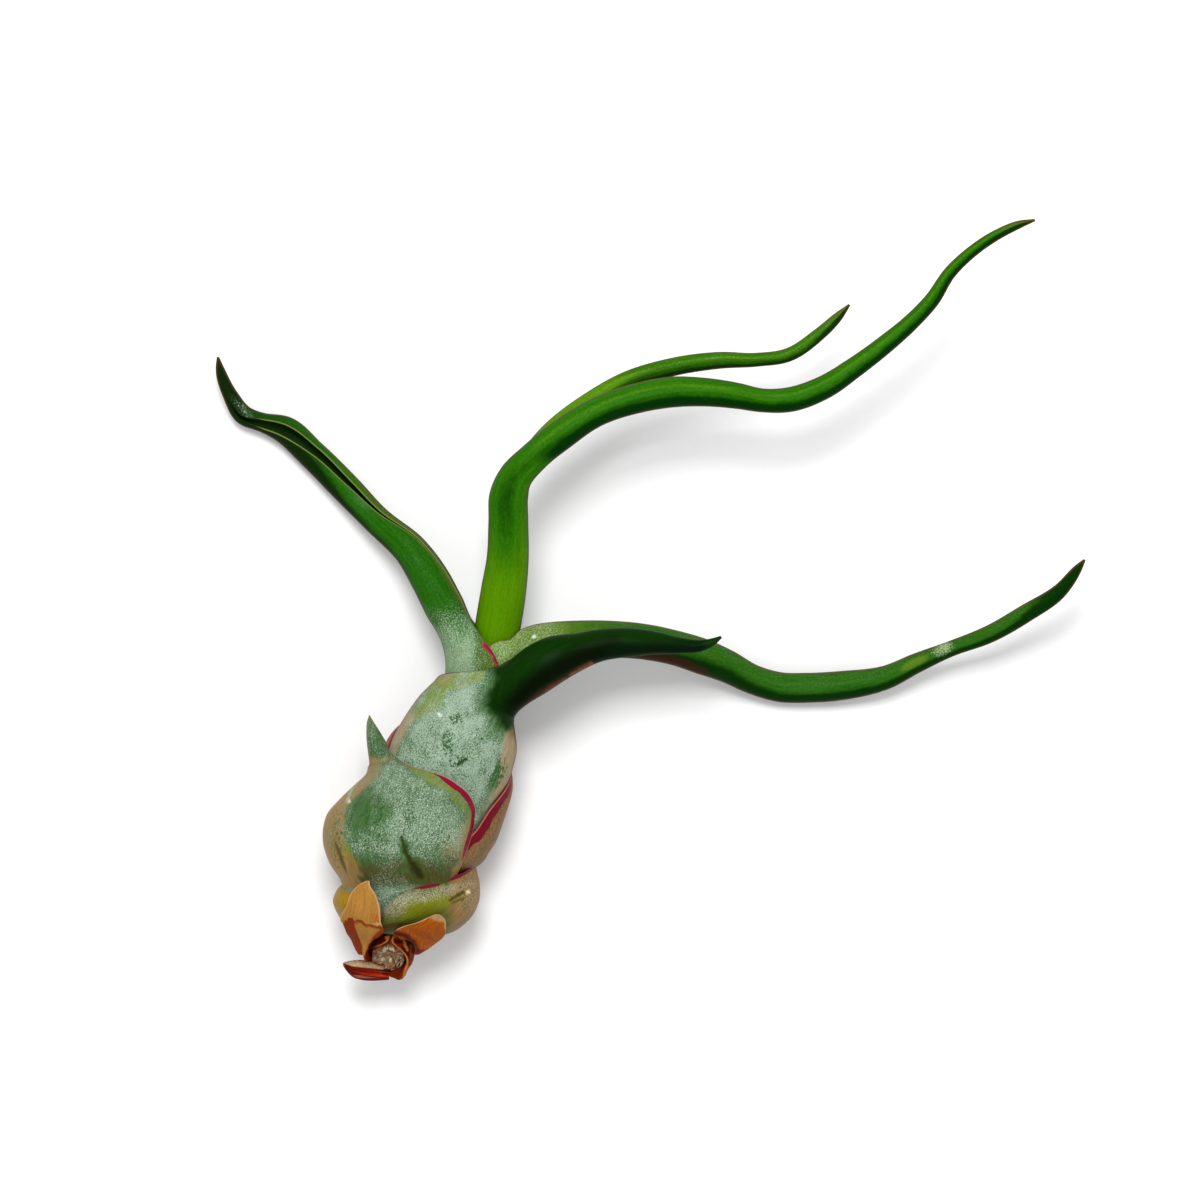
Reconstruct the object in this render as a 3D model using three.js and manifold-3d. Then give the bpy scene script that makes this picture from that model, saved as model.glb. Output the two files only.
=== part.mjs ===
// A small bulbous air plant (Tillandsia bulbosa) lying on its side, in millimetres, +Z up.
// The surface it lies on is z = 0, and the origin is the flat spot under its bulb. +Y runs up along the
// plant and +X runs out along its longest leaf.
//
// Every leaf is one strip with a rolled-in blade. Its foot rings the short stem, its sheath is a wide arc
// about the bulb, and past the shoulder the same strip narrows and rolls up into the blade. So each leaf is
// given by a row of stations, from foot to tip, and one function turns the row into a closed solid.
import * as THREE from "three";
import { mergeVertices } from "three/addons/utils/BufferGeometryUtils.js";
import Module from "manifold-3d";

const wasm = await Module();
wasm.setup();

// Driving sizes.
const SHEATH_WALL = 0.85; // leaf thickness in the bulb
const BLADE_WALL = 0.8; // leaf thickness in the rolled blades
const CLEAR = 0.3; // gap between neighbouring pieces
const SHEATH_STEP = 2.3; // longest facet along a sheath
const BLADE_RADIUS = 3.6; // a section narrower than this is blade, a wider one is sheath

// The break at the foot of the stem: a point on it, its lean back from level and its turn, in degrees.
const BREAK = { at: [-2.4, -16.6, 10.9], lean: 51, turn: -10 };

// Stations of the leaves, lowest leaf first. A station is
//   [x, y, z, radius, heading, from, to]
// where x, y, z is the middle of the section and heading is the way the leaf grows there, in degrees from
// +X. The strip spans the arc from one margin to the other: 0 faces up, 90 is the leaf's right-hand side as
// seen from above, 180 faces the ground. AUTO takes the heading from the row itself.
const AUTO = null;
const LEAVES = {
  leaf_1_cup: [
    [-1.3, -12.5, 10.4, 6.16, 85, -26, 334],
    [-0.9, -11.8, 10.4, 8.11, 86, -24, 330],
    [-0.2, -10.1, 10.3, 9.92, 88, -20, 326],
    [0.1, -7.9, 10.7, 10.96, 90, -15, 320],
    [0.4, -5.9, 10.6, 10.82, 92, -1, 302],
    [0.7, -4.3, 9.9, 10.15, 94, 37, 280],
    [0.7, -2.8, 9.6, 9.85, 94, 72, 262],
    [0.5, -0.1, 9.4, 9.63, 90, 104, 250],
    [0.7, 3.2, 9.1, 9.03, 86, 132, 230],
    [0.8, 5.9, 9.2, 8.72, 84, 152, 210],
    [1.0, 7.9, 9.4, 8.57, 84, 170, 192],
  ],
  leaf_2_spine: [
    [-1.5, -11.3, 10.8, 4.05, 86, -218, 108],
    [-1.1, -8.4, 11.2, 6.76, 86, -205, 92],
    [-0.9, -6.2, 11.8, 8.55, 87, -192, 78],
    [-0.7, -4.5, 12.3, 9.6, 88, -180, 61],
    [-0.4, -1.8, 12.8, 10.94, 90, -172, 60],
    [-0.3, 1.5, 13, 11.99, 90, -170, 62],
    [0.2, 5.3, 13, 11.91, 90, -165, 66],
    [2.0, 7.8, 13, 11.84, 91, -156, 46],
    [4.4, 9.9, 12.8, 11.84, 90, -142, 21],
    [5.3, 11.3, 12.7, 11.24, 90, -128, 5],
    [4.5, 12.5, 12.8, 10.04, 90, -116, -14],
    [0.9, 13.4, 13.6, 6.36, 96, -124, -14],
    [-2.9, 14.0, 15.2, 2.32, 105, -170, 62],
    [-3.8, 16.3, 16, 1.54, 104, -195, 75],
    [-4.4, 18.2, 16.2, 0.99, 101, -200, 85],
    [-5.1, 20.2, 16.3, 0.24, 105, -200, 85],
  ],
  leaf_3_back: [
    [-1.2, -8.9, 10.8, 3.9, 86, 10, 350],
    [-0.8, -6.5, 10.8, 5.56, 86, 14, 346],
    [-0.3, -4.7, 10.8, 6.91, 86, 18, 342],
    [0.4, -3.2, 10.5, 8.41, 86, 22, 338],
    [1.3, -1.0, 10.6, 10.21, 84, 28, 332],
    [2.4, 1.9, 10.8, 10.51, 78, 37, 323],
    [3.9, 5.1, 11, 10.51, 70, 46, 314],
    [5.7, 9.9, 11.2, 10.43, 66, 58, 302],
    [7.6, 14.8, 11.5, 9.91, 65, 90, 270],
    [9.0, 19.2, 11.4, 8.26, 66, 140, 220],
    [9.9, 22.2, 11.2, 7.21, 68, 155, 205],
    [10.3, 24.0, 11, 6.61, 70, 168, 192],
  ],
  leaf_4_short: [
    [-0.8, -6.8, 10.9, 3.45, 84, -110, 190],
    [-0.2, -4.5, 11, 5.26, 84, -115, 195],
    [0.6, -1.8, 11.2, 7.21, 82, -122, 202],
    [1.5, 1.5, 11.3, 8.71, 78, -130, 208],
    [2.8, 5.2, 11.5, 9.38, 70, -135, 210],
    [5.2, 10.2, 11.8, 9.23, 66, -135, 208],
    [7.5, 14.9, 12.2, 9.15, 64.5, -132, 205],
    [9.3, 19.1, 12.7, 7.94, 62, -118, 200],
    [10.7, 22.7, 13.2, 6.74, 61.4, -90, 192],
    [11.4, 23.7, 13.8, 6.74, 52, -47, 182],
    [12.4, 24.6, 14.4, 6.43, 41, -31, 172],
    [14.6, 23.8, 17, 4.4, 28, -47, 160],
    [16.3, 24.8, 18.6, 3.65, 27, -92, 145],
    [18.7, 26.4, 19.2, 3.72, 27, -115, 135],
    [23.5, 29.1, 19.6, 3.36, 24, -135, 112],
    [26.0, 29.8, 19.5, 2.8, 15, -138, 96],
    [29.0, 30.7, 19.4, 2.43, 9, -140, 128],
    [34.5, 31.2, 19.2, 2.11, AUTO, -145, 145],
    [37.6, 31.1, 19, 1.71, AUTO, -150, 150],
    [41.3, 30.7, 18.9, 1.22, AUTO, -150, 150],
    [44.4, 30.7, 19, 0.86, AUTO, -150, 150],
    [45.9, 31.2, 19.2, 0.6, AUTO, -150, 150],
    [47.3, 32.0, 19.5, 0.19, AUTO, -150, 150],
  ],
  leaf_5_left: [
    [-0.2, -4.4, 11, 2.85, 82, -250, 62],
    [0.6, -1.5, 11.2, 4.8, 80, -245, 58],
    [1.8, 2.1, 11.4, 6.3, 76, -242, 52],
    [3.6, 5.8, 11.7, 7.05, 69, -240, 48],
    [5.7, 10.5, 12, 7.12, 66, -240, 45],
    [8.0, 15.5, 12.3, 6.75, 65, -238, 42],
    [9.8, 20.1, 12.5, 5.85, 66, -235, 38],
    [11.0, 23.4, 12.6, 5.55, 72, -230, 32],
    [11.7, 27.5, 12.6, 6.15, 88, -226, 24],
    [11.2, 29.4, 13.1, 5.39, 99, -228, 23],
    [10.2, 30.6, 13.6, 4.64, 101, -234, 27],
    [9.0, 31.6, 13.9, 3.89, 100, -246, 43],
    [7.8, 32.9, 13.2, 3.06, 108, -285, 60],
    [5.8, 36.7, 11.4, 3.03, AUTO, -296, 58],
    [3.5, 41.0, 9.5, 2.93, AUTO, -302, 52],
    [0.8, 44.9, 7.6, 2.61, AUTO, -308, 46],
    [-4.6, 49.7, 5, 2.18, AUTO, -318, 28],
    [-9.0, 54.2, 3, 2.3, AUTO, -318, 14],
    [-14.2, 59.4, 2.2, 2.23, AUTO, -318, 6],
    [-19.1, 63.6, 2.3, 2.04, AUTO, -338, -32],
    [-21.9, 64.4, 2.3, 1.48, AUTO, -345, -35],
    [-24.7, 65.5, 2.3, 1.51, AUTO, -350, -40],
    [-26.7, 68.5, 3.2, 1.15, AUTO, -352, -35],
    [-28.2, 72.6, 5.2, 0.63, AUTO, -345, -30],
    [-28.4, 74.1, 6, 0.2, AUTO, -345, -30],
  ],
  leaf_6_right: [
    [0.3, -3.0, 11.2, 2.25, 80, -60, 250],
    [1.2, -0.0, 11.4, 3.9, 77, -60, 250],
    [2.7, 3.7, 11.6, 5.1, 71, -58, 248],
    [4.8, 8.5, 11.9, 5.7, 67, -56, 246],
    [7.2, 13.8, 12.1, 5.55, 65, -54, 245],
    [9.5, 19.2, 12.3, 4.65, 65, -52, 244],
    [11.0, 23.4, 12.4, 4.35, 68, -50, 243],
    [12.3, 26.4, 12.5, 4.8, 64, -46, 242],
    [14.1, 28.1, 12.7, 4.95, 49, -35, 240],
    [15.4, 29.1, 13.1, 4.42, 36, -38, 239],
    [17.0, 29.6, 13.0, 3.82, 26, -39, 237],
    [18.4, 30.1, 12.8, 3.52, 18, -64, 236],
    [21.5, 31.0, 12.2, 3.15, 9, -92, 236],
    [26.2, 31.5, 11.6, 2.93, AUTO, -104, 240],
    [31.1, 31.6, 11, 2.78, AUTO, -104, 240],
    [35.3, 31.3, 10.2, 2.7, AUTO, -104, 240],
    [40.5, 30.3, 8.6, 2.63, AUTO, -104, 240],
    [44.6, 29.0, 6.8, 2.71, AUTO, -104, 240],
    [48.4, 27.5, 4.8, 2.49, AUTO, -104, 240],
    [52.6, 25.4, 3, 2.24, AUTO, -104, 240],
    [56.5, 24.3, 2.2, 2.27, AUTO, -104, 240],
    [60.6, 24.2, 2.3, 2.27, AUTO, -104, 240],
    [66.3, 24.6, 2.9, 2.2, AUTO, -104, 240],
    [72.5, 25.8, 4.2, 1.81, AUTO, -104, 240],
    [77.1, 28.0, 5.6, 1.51, AUTO, -104, 240],
    [82.0, 30.1, 7.2, 1.21, AUTO, -104, 240],
    [87.9, 32.4, 9, 1.35, AUTO, -104, 240],
    [93.2, 35.5, 11, 1.38, AUTO, -104, 240],
    [98.2, 38.9, 13, 1.12, AUTO, -104, 240],
    [100.9, 42.4, 14.6, 0.6, AUTO, -104, 240],
    [101.7, 43.5, 15.1, 0.19, AUTO, -104, 240],
  ],
  leaf_7_centre: [
    [0.9, -0.6, 11.5, 1.8, 76, -150, 150],
    [2.9, 4.5, 12.0, 3.15, 70, -150, 150],
    [5.9, 11.1, 12.3, 3.75, 66, -150, 150],
    [8.6, 17.7, 12.5, 3.45, 66, -148, 148],
    [10.7, 23.0, 12.5, 3.15, 68, -145, 145],
    [12.3, 27.3, 12.4, 3.22, 76, -140, 140],
    [13.4, 30.5, 12.4, 3.37, 80, -138, 138],
    [14.0, 33.9, 13.0, 3.45, 86, -138, 138],
    [14.8, 38.7, 14.6, 3.4, AUTO, -138, 138],
    [15.5, 44.1, 16.8, 3.13, AUTO, -142, 142],
    [15.6, 49.4, 18.6, 2.98, AUTO, -155, 155],
    [15.7, 53.1, 19.8, 2.9, AUTO, -162, 162],
    [16.7, 55.8, 20.6, 2.56, AUTO, -166, 166],
    [19.4, 58.7, 21.4, 2.3, AUTO, -168, 168],
    [23.6, 62.1, 22, 2.3, AUTO, -168, 168],
    [28.4, 65.2, 22.2, 2.15, AUTO, -168, 168],
    [34.9, 67.5, 22.1, 2.26, AUTO, -168, 168],
    [40.2, 68.4, 21.9, 2.3, AUTO, -168, 168],
    [44.4, 68.4, 21.6, 2.15, AUTO, -168, 168],
    [49.9, 67.8, 21, 1.93, AUTO, -168, 168],
    [53.2, 67.2, 20.6, 1.78, AUTO, -168, 168],
    [57.4, 67.3, 20.2, 1.86, AUTO, -168, 168],
    [62.3, 69.0, 19.8, 1.79, AUTO, -168, 168],
    [67.4, 72.3, 19.5, 1.56, AUTO, -168, 168],
    [72.0, 75.8, 19.6, 1.41, AUTO, -168, 168],
    [75.5, 78.8, 19.9, 1.26, AUTO, -168, 168],
    [78.6, 82.1, 20.4, 1.16, AUTO, -168, 168],
    [81.3, 86.2, 21.2, 0.97, AUTO, -168, 168],
    [84.2, 89.0, 22, 0.89, AUTO, -168, 168],
    [88.0, 91.6, 22.9, 0.8, AUTO, -168, 168],
    [91.5, 93.2, 23.6, 0.59, AUTO, -168, 168],
    [93.7, 93.8, 24, 0.18, AUTO, -168, 168],
  ],
  leaf_8_inner: [
    [1.9, 2.1, 11.6, 1.05, 70, -160, 160],
    [5.9, 11.1, 12.2, 1.65, 66, -162, 162],
    [9.8, 20.7, 12.4, 1.65, 67, -164, 164],
    [12.3, 27.3, 11.9, 1.43, 74, -164, 164],
    [13.9, 34.2, 11.0, 1.35, 86, -164, 164],
    [14.8, 39.0, 11.2, 1.35, AUTO, -164, 164],
    [15.5, 44.1, 12.2, 1.35, AUTO, -164, 164],
    [15.6, 49.5, 13.8, 1.35, AUTO, -164, 164],
    [15.9, 53.7, 15, 1.35, AUTO, -164, 164],
    [17.9, 57.8, 16.2, 1.34, AUTO, -164, 164],
    [21.0, 61.8, 16.8, 1.39, AUTO, -164, 164],
    [27.8, 67.2, 17.0, 1.39, AUTO, -164, 164],
    [33.4, 70.3, 17, 1.39, AUTO, -164, 164],
    [39.3, 72.1, 16.8, 1.39, AUTO, -164, 164],
    [47.2, 73.3, 16.3, 1.27, AUTO, -164, 164],
    [52.7, 73.4, 15.9, 1.05, AUTO, -164, 164],
    [57.3, 74.1, 15.6, 1.05, AUTO, -164, 164],
    [62.1, 77.3, 15.4, 0.97, AUTO, -164, 164],
    [64.8, 79.8, 15.7, 0.72, AUTO, -164, 164],
    [66.5, 81.6, 16.2, 0.19, AUTO, -164, 164],
  ],
  bract_left: [
    [-2.5, -15.8, 11.5, 4.65, 88, -90, -50],
    [-1.7, -13.7, 10.9, 6.76, 88, -78, -29],
    [-0.9, -12.1, 10.5, 9.61, 88, -60, -13],
    [-0.3, -10.3, 10.5, 11.42, 88, -51, -15],
    [0.1, -8.0, 10.8, 12.16, 88, -43, -17],
    [0.3, -6.2, 10.7, 12.32, 88, -39, -21],
    [0.4, -5.2, 10.7, 12.24, 88, -35, -25],
    [0.6, -4.4, 10.7, 12.17, 88, -29, -27],
  ],
  bract_right: [
    [-2.4, -15.5, 11.5, 4.65, 88, 58, 92],
    [-1.7, -13.7, 10.9, 6.76, 88, 28, 72],
    [-1.1, -12.2, 10.6, 9.16, 88, -2, 52],
    [-0.6, -10.9, 10.6, 10.97, 88, 4, 39],
    [-0.3, -9.5, 10.8, 12.01, 88, 14, 33],
    [-0.2, -8.7, 10.9, 12.54, 88, 21, 30],
  ],
  base_scale: [
    [-1.8, -12.0, 11.2, 3.3, 262, -357, -3],
    [-2.0, -12.8, 11.3, 3.68, 262, -357, -3],
    [-2.2, -13.5, 11.4, 3.83, 262, -352, -8],
    [-2.3, -14.4, 11.4, 3.96, 262, -330, -28],
    [-2.5, -15.3, 11.3, 3.9, 262, -292, -44],
    [-2.5, -16.4, 11.1, 3.53, 262, -252, -54],
    [-2.7, -17.6, 10.8, 2.94, 262, -228, -60],
    [-2.8, -18.7, 10.5, 2.7, 262, -215, -72],
    [-2.9, -19.4, 10.3, 2.03, 262, -205, -95],
  ],
  stub_husk: [
    [-2.5, -18.9, 8.9, 0.75, 176, 60, 300],
    [-3.8, -18.6, 9.1, 1.14, 178, 50, 300],
    [-5.3, -18.3, 9.4, 1.47, 180, 42, 302],
    [-6.8, -18.1, 9.8, 1.5, 182, 40, 304],
    [-8.0, -17.9, 10.3, 1.23, 184, 42, 304],
    [-8.7, -17.6, 10.7, 0.81, 188, 50, 302],
    [-9.2, -17.3, 11, 0.36, 192, 56, 304],
  ],
};

const STALK = [
  [-3.4, -19.3, 10.3, 1.2],
  [-3.2, -18.5, 10.4, 1.65],
  [-2.9, -17.3, 10.6, 2.18],
  [-2.5, -16.0, 10.9, 2.55],
  [-2.2, -14.6, 11.1, 2.7],
  [-1.8, -13.2, 11.1, 2.7],
  [-1.5, -10.8, 11.1, 2.82],
  [-1.1, -8.3, 11.1, 2.63],
  [-0.6, -6.5, 11.1, 2.18],
  [-0.2, -4.5, 11.1, 1.65],
  [0.3, -2.9, 11.3, 0.98],
  [0.9, -0.8, 11.5, 0.6],
  [1.3, 0.6, 11.6, 0.42],
];

// The pieces from the inside out: facets across, the longest facet along a blade, and the colour. Each one
// gives way to those it wraps, so neighbours keep their clearance.
const PIECES = {
  stem: { across: 14, color: "#6b4a33" },
  base_scale: { across: 9, step: 1, color: "#7c2d12" },
  leaf_8_inner: { across: 9, step: 4.5, color: "#3f7f22" },
  leaf_7_centre: { across: 10, step: 4.5, color: "#3c8420" },
  leaf_6_right: { across: 10, step: 4.5, color: "#2f6e24" },
  leaf_5_left: { across: 10, step: 4.5, color: "#3a6c3a" },
  leaf_4_short: { across: 12, step: 4.5, color: "#8fa48a" },
  leaf_3_back: { across: 14, step: 4.5, color: "#a8a283" },
  leaf_2_spine: { across: 16, step: 3.5, color: "#8a9f80" },
  leaf_1_cup: { across: 18, step: 4.5, color: "#a39a6e" },
  bract_left: { across: 5, step: 4, color: "#c58f54" },
  bract_right: { across: 5, step: 4, color: "#c0662a" },
  stub_husk: { across: 7, step: 1.8, color: "#6b2318" },
};

const RAD = Math.PI / 180;
const part = new THREE.Group();
part.name = "air_plant";
const grown = [];
for (const [name, piece] of Object.entries(PIECES)) {
  let solid = solidOf(pieceGeometry(name, 0));
  for (const inner of grown) {
    solid = solid.subtract(inner);
  }
  grown.push(solidOf(pieceGeometry(name, CLEAR)));
  if (name === "stem") solid = solid.subtract(beyondBreak());
  if (name === "leaf_1_cup") solid = solid.subtract(underground());
  part.add(namedMesh(name, largestBody(solid), piece.color));
}

export default part;

function pieceGeometry(name, swell) {
  const { across, step } = PIECES[name];
  return name === "stem" ? stalkGeometry(STALK, across, swell) : leafGeometry(LEAVES[name], across, step, swell);
}

// Fills in the headings left to the row, turned the short way from station to station.
function withHeadings(rows) {
  const found = [];
  rows.forEach((row, i) => {
    const before = rows[Math.max(i - 1, 0)];
    const after = rows[Math.min(i + 1, rows.length - 1)];
    let heading = row[4];
    if (heading === AUTO) {
      heading = Math.atan2(after[1] - before[1], after[0] - before[0]) / RAD;
      if (i > 0) heading += 360 * Math.round((found[i - 1] - heading) / 360);
    }
    found.push(heading);
  });
  return rows.map((row, i) => [...row.slice(0, 4), found[i], row[5], row[6]]);
}

// A smooth curve through rows of numbers, by their distance along the leaf.
function smoothRow(rows, along, at) {
  let i = 0;
  while (i < rows.length - 2 && at > along[i + 1]) i += 1;
  const span = along[i + 1] - along[i];
  const t = (at - along[i]) / span;
  const slope = (k, c) => {
    const a = Math.max(k - 1, 0);
    const b = Math.min(k + 1, rows.length - 1);
    if (a === k || b === k) return (rows[b][c] - rows[a][c]) / (along[b] - along[a]);
    const left = (rows[k][c] - rows[a][c]) / (along[k] - along[a]);
    const right = (rows[b][c] - rows[k][c]) / (along[b] - along[k]);
    return (left * (along[b] - along[k]) + right * (along[k] - along[a])) / (along[b] - along[a]);
  };
  const t2 = t * t;
  const t3 = t2 * t;
  return rows[0].map((_, c) => {
    const p = rows[i][c];
    const q = rows[i + 1][c];
    const m = slope(i, c) * span;
    const n = slope(i + 1, c) * span;
    return (2 * t3 - 3 * t2 + 1) * p + (t3 - 2 * t2 + t) * m + (3 * t2 - 2 * t3) * q + (t3 - t2) * n;
  });
}

// Distance along a row of stations: how far its two margins and its middle line travel, on average.
function distances(rows) {
  const marks = rows.map((row) => {
    const { side } = sectionAxes(row, row, row);
    const up = new THREE.Vector3(0, 0, 1);
    const middle = new THREE.Vector3(row[0], row[1], row[2]);
    return [row[5], (row[5] + row[6]) / 2, row[6]].map((angle) => pointAt(middle, side, up, angle * RAD, row[3]));
  });
  const along = [0];
  for (let i = 1; i < rows.length; i += 1) {
    const moved = marks[i].map((mark, k) => mark.distanceTo(marks[i - 1][k]));
    along.push(along[i - 1] + (moved[0] + moved[1] + moved[2]) / 3);
  }
  return along;
}

// The sections of a leaf: short steps along the sheath, longer ones along the blade, short at a fine tip.
function sections(rows, step) {
  const filled = withHeadings(rows);
  const along = distances(filled);
  const length = along[along.length - 1];
  const made = [];
  let at = 0;
  while (at < length) {
    const row = smoothRow(filled, along, at);
    made.push(row);
    at += row[3] > BLADE_RADIUS ? Math.min(step, SHEATH_STEP) : step * Math.min(1, 0.35 + row[3] / 2);
  }
  made.push(filled[filled.length - 1]);
  return made;
}

// The side and face directions of a section. A blade's sections tip with its slope, a sheath's stay level.
function sectionAxes(row, before, after) {
  const run = Math.hypot(after[0] - before[0], after[1] - before[1]);
  const tip = Math.min(1, Math.max(0, BLADE_RADIUS - row[3]));
  const slope = (tip * (after[2] - before[2])) / Math.max(run, 0.5);
  const heading = row[4] * RAD;
  const side = new THREE.Vector3(Math.sin(heading), -Math.cos(heading), 0);
  const face = new THREE.Vector3(-slope * Math.cos(heading), -slope * Math.sin(heading), 1).normalize();
  return { side, face };
}

function pointAt(middle, side, face, angle, radius) {
  return middle
    .clone()
    .addScaledVector(side, radius * Math.sin(angle))
    .addScaledVector(face, radius * Math.cos(angle));
}

// The closed mesh of a leaf. swell grows it on every side, for cutting room for it in a neighbour.
function leafGeometry(rows, across, step, swell) {
  const rings = sections(rows, step);
  const points = [];
  rings.forEach((row, i) => {
    const before = rings[Math.max(i - 1, 0)];
    const after = rings[Math.min(i + 1, rings.length - 1)];
    const { side, face } = sectionAxes(row, before, after);
    const middle = new THREE.Vector3(row[0], row[1], row[2]);
    const radius = row[3] + swell;
    const travel = Math.hypot(after[0] - before[0], after[1] - before[1], after[2] - before[2]);
    const flare = travel > 0.01 ? Math.min(1.6, Math.hypot(1, (after[3] - before[3]) / travel)) : 1;
    const wall = (row[3] > BLADE_RADIUS ? SHEATH_WALL * flare : BLADE_WALL) + 2 * swell;
    const hollow = Math.max(radius - wall, 0.3 * radius);
    const open = swell / Math.max(radius, 1) / RAD;
    const from = row[5] - open;
    const to = row[6] + open;
    for (let k = 0; k <= across; k += 1) {
      const angle = (from + ((to - from) * k) / across) * RAD;
      points.push(pointAt(middle, side, face, angle, radius));
    }
    for (let k = across; k >= 0; k -= 1) {
      const angle = (from + ((to - from) * k) / across) * RAD;
      points.push(pointAt(middle, side, face, angle, hollow));
    }
  });
  return closedStrip(points, rings.length, 2 * (across + 1));
}

// Skins rings of points, each a closed loop of an outer and an inner row, and caps both ends.
function closedStrip(points, count, loop) {
  const faces = [];
  const quad = (a, b, c, d) => faces.push(a, b, c, a, c, d);
  for (let i = 0; i < count - 1; i += 1) {
    for (let k = 0; k < loop; k += 1) {
      const next = (k + 1) % loop;
      quad(i * loop + next, (i + 1) * loop + next, (i + 1) * loop + k, i * loop + k);
    }
  }
  const end = (count - 1) * loop;
  for (let k = 0; k < loop / 2 - 1; k += 1) {
    quad(loop - 1 - k, loop - 2 - k, k + 1, k);
    quad(end + k + 1, end + loop - 2 - k, end + loop - 1 - k, end + k);
  }
  return geometryOf(points, faces);
}

// A solid stalk through stations of x, y, z and radius, with a flat cap at each end.
function stalkGeometry(rows, sides, swell) {
  const filled = withHeadings(rows.map((row) => [...row, AUTO, 0, 0]));
  const points = [];
  filled.forEach((row, i) => {
    const before = filled[Math.max(i - 1, 0)];
    const after = filled[Math.min(i + 1, filled.length - 1)];
    const { side, face } = sectionAxes(row, before, after);
    const middle = new THREE.Vector3(row[0], row[1], row[2]);
    for (let k = 0; k < sides; k += 1) {
      points.push(pointAt(middle, side, face, (k / sides) * 2 * Math.PI, row[3] + swell));
    }
  });
  const faces = [];
  const last = (filled.length - 1) * sides;
  for (let i = 0; i < filled.length - 1; i += 1) {
    for (let k = 0; k < sides; k += 1) {
      const a = i * sides + k;
      const b = i * sides + ((k + 1) % sides);
      faces.push(b, b + sides, a + sides, b, a + sides, a);
    }
  }
  for (let k = 1; k < sides - 1; k += 1) {
    faces.push(0, k + 1, k, last, last + k, last + k + 1);
  }
  return geometryOf(points, faces);
}

function geometryOf(points, faces) {
  const geometry = new THREE.BufferGeometry();
  geometry.setAttribute("position", new THREE.Float32BufferAttribute(points.flatMap((p) => p.toArray()), 3));
  geometry.setIndex(faces);
  return geometry;
}

// What lies past the slanting break at the foot of the stem.
function beyondBreak() {
  const block = new THREE.BoxGeometry(16, 16, 12);
  block.translate(0, 0, 6);
  block.rotateX(BREAK.lean * RAD);
  block.rotateZ(BREAK.turn * RAD);
  block.translate(...BREAK.at);
  return solidOf(block);
}

// What lies below the surface: taking it off the cup leaves the flat spot the plant rests on.
function underground() {
  const block = new THREE.BoxGeometry(60, 60, 4);
  block.translate(0, 0, -2);
  return solidOf(block);
}

function solidOf(geometry) {
  const bare = new THREE.BufferGeometry();
  bare.setAttribute("position", geometry.getAttribute("position"));
  bare.setIndex(geometry.index);
  const merged = mergeVertices(bare, 1e-4);
  return new wasm.Manifold(
    new wasm.Mesh({
      numProp: 3,
      vertProperties: merged.attributes.position.array,
      triVerts: new Uint32Array(merged.index.array),
    }),
  );
}

// A cut can leave a crumb beside the piece itself.
function largestBody(solid) {
  const bodies = solid.decompose();
  return bodies.reduce((best, body) => (body.volume() > best.volume() ? body : best));
}

function namedMesh(name, solid, color) {
  const made = solid.getMesh();
  const geometry = new THREE.BufferGeometry();
  geometry.setAttribute("position", new THREE.BufferAttribute(made.vertProperties, 3));
  geometry.setIndex(new THREE.BufferAttribute(made.triVerts, 1));
  geometry.computeVertexNormals();
  const material = new THREE.MeshStandardMaterial({ color, roughness: 0.6, metalness: 0 });
  const mesh = new THREE.Mesh(geometry, material);
  mesh.name = name;
  return mesh;
}
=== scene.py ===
# %% [markdown]
# # A small bulbous air plant, lying on its side
# The plant is a rosette: leaves of one kind, nested round a short stem, whose swollen sheaths make a bulb
# and whose blades roll up into tapering tubes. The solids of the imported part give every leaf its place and
# its form. This scene dresses each of them with a finer leaf of nearly the same stations: the same curve, but
# with many more sections, thin margins, and a skin of silver scales, veins and crimson margins.

import math

import bpy
import numpy as np
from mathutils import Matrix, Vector, noise


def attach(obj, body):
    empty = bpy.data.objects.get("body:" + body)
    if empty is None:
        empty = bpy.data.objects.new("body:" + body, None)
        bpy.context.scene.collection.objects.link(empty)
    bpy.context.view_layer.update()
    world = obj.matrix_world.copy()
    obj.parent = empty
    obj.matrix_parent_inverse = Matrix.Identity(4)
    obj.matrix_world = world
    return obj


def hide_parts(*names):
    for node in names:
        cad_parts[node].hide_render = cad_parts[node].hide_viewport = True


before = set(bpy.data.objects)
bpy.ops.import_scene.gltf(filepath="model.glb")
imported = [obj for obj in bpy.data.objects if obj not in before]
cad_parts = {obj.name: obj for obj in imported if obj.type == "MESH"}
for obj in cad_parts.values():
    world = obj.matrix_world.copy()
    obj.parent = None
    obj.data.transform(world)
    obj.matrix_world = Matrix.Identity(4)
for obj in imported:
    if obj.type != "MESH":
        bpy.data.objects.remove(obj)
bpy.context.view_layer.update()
print("pieces in the frame:", len(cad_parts))

# %% [markdown]
# ## The camera and the studio
# The picture looks straight down on the plant, on a white floor, in soft light that comes from beyond the
# leaf tips. The whole picture is 180 mm wide at the plant's middle height, so a long lens one metre up
# takes in that width with almost no perspective.

# %% Camera, a metre above the floor
MM = 0.001
PICTURE_WIDTH = 180 * MM
VIEW_HEIGHT = 1.0
MIDDLE_HEIGHT = 12 * MM
VIEW_CENTRE = (29.25 * MM, 37.5 * MM)
SENSOR = 36.0


def linked(name, data):
    """An object that shows data, linked to the scene."""
    made = bpy.data.objects.new(name, data)
    bpy.context.collection.objects.link(made)
    return made


lens = bpy.data.cameras.new("view")
lens.sensor_width = SENSOR
lens.lens = SENSOR * (VIEW_HEIGHT - MIDDLE_HEIGHT) / PICTURE_WIDTH
lens.clip_start = 0.01
camera = linked("view", lens)
camera.location = (*VIEW_CENTRE, VIEW_HEIGHT)
bpy.context.scene.camera = camera
print(f"lens {lens.lens:.1f} mm")

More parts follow.
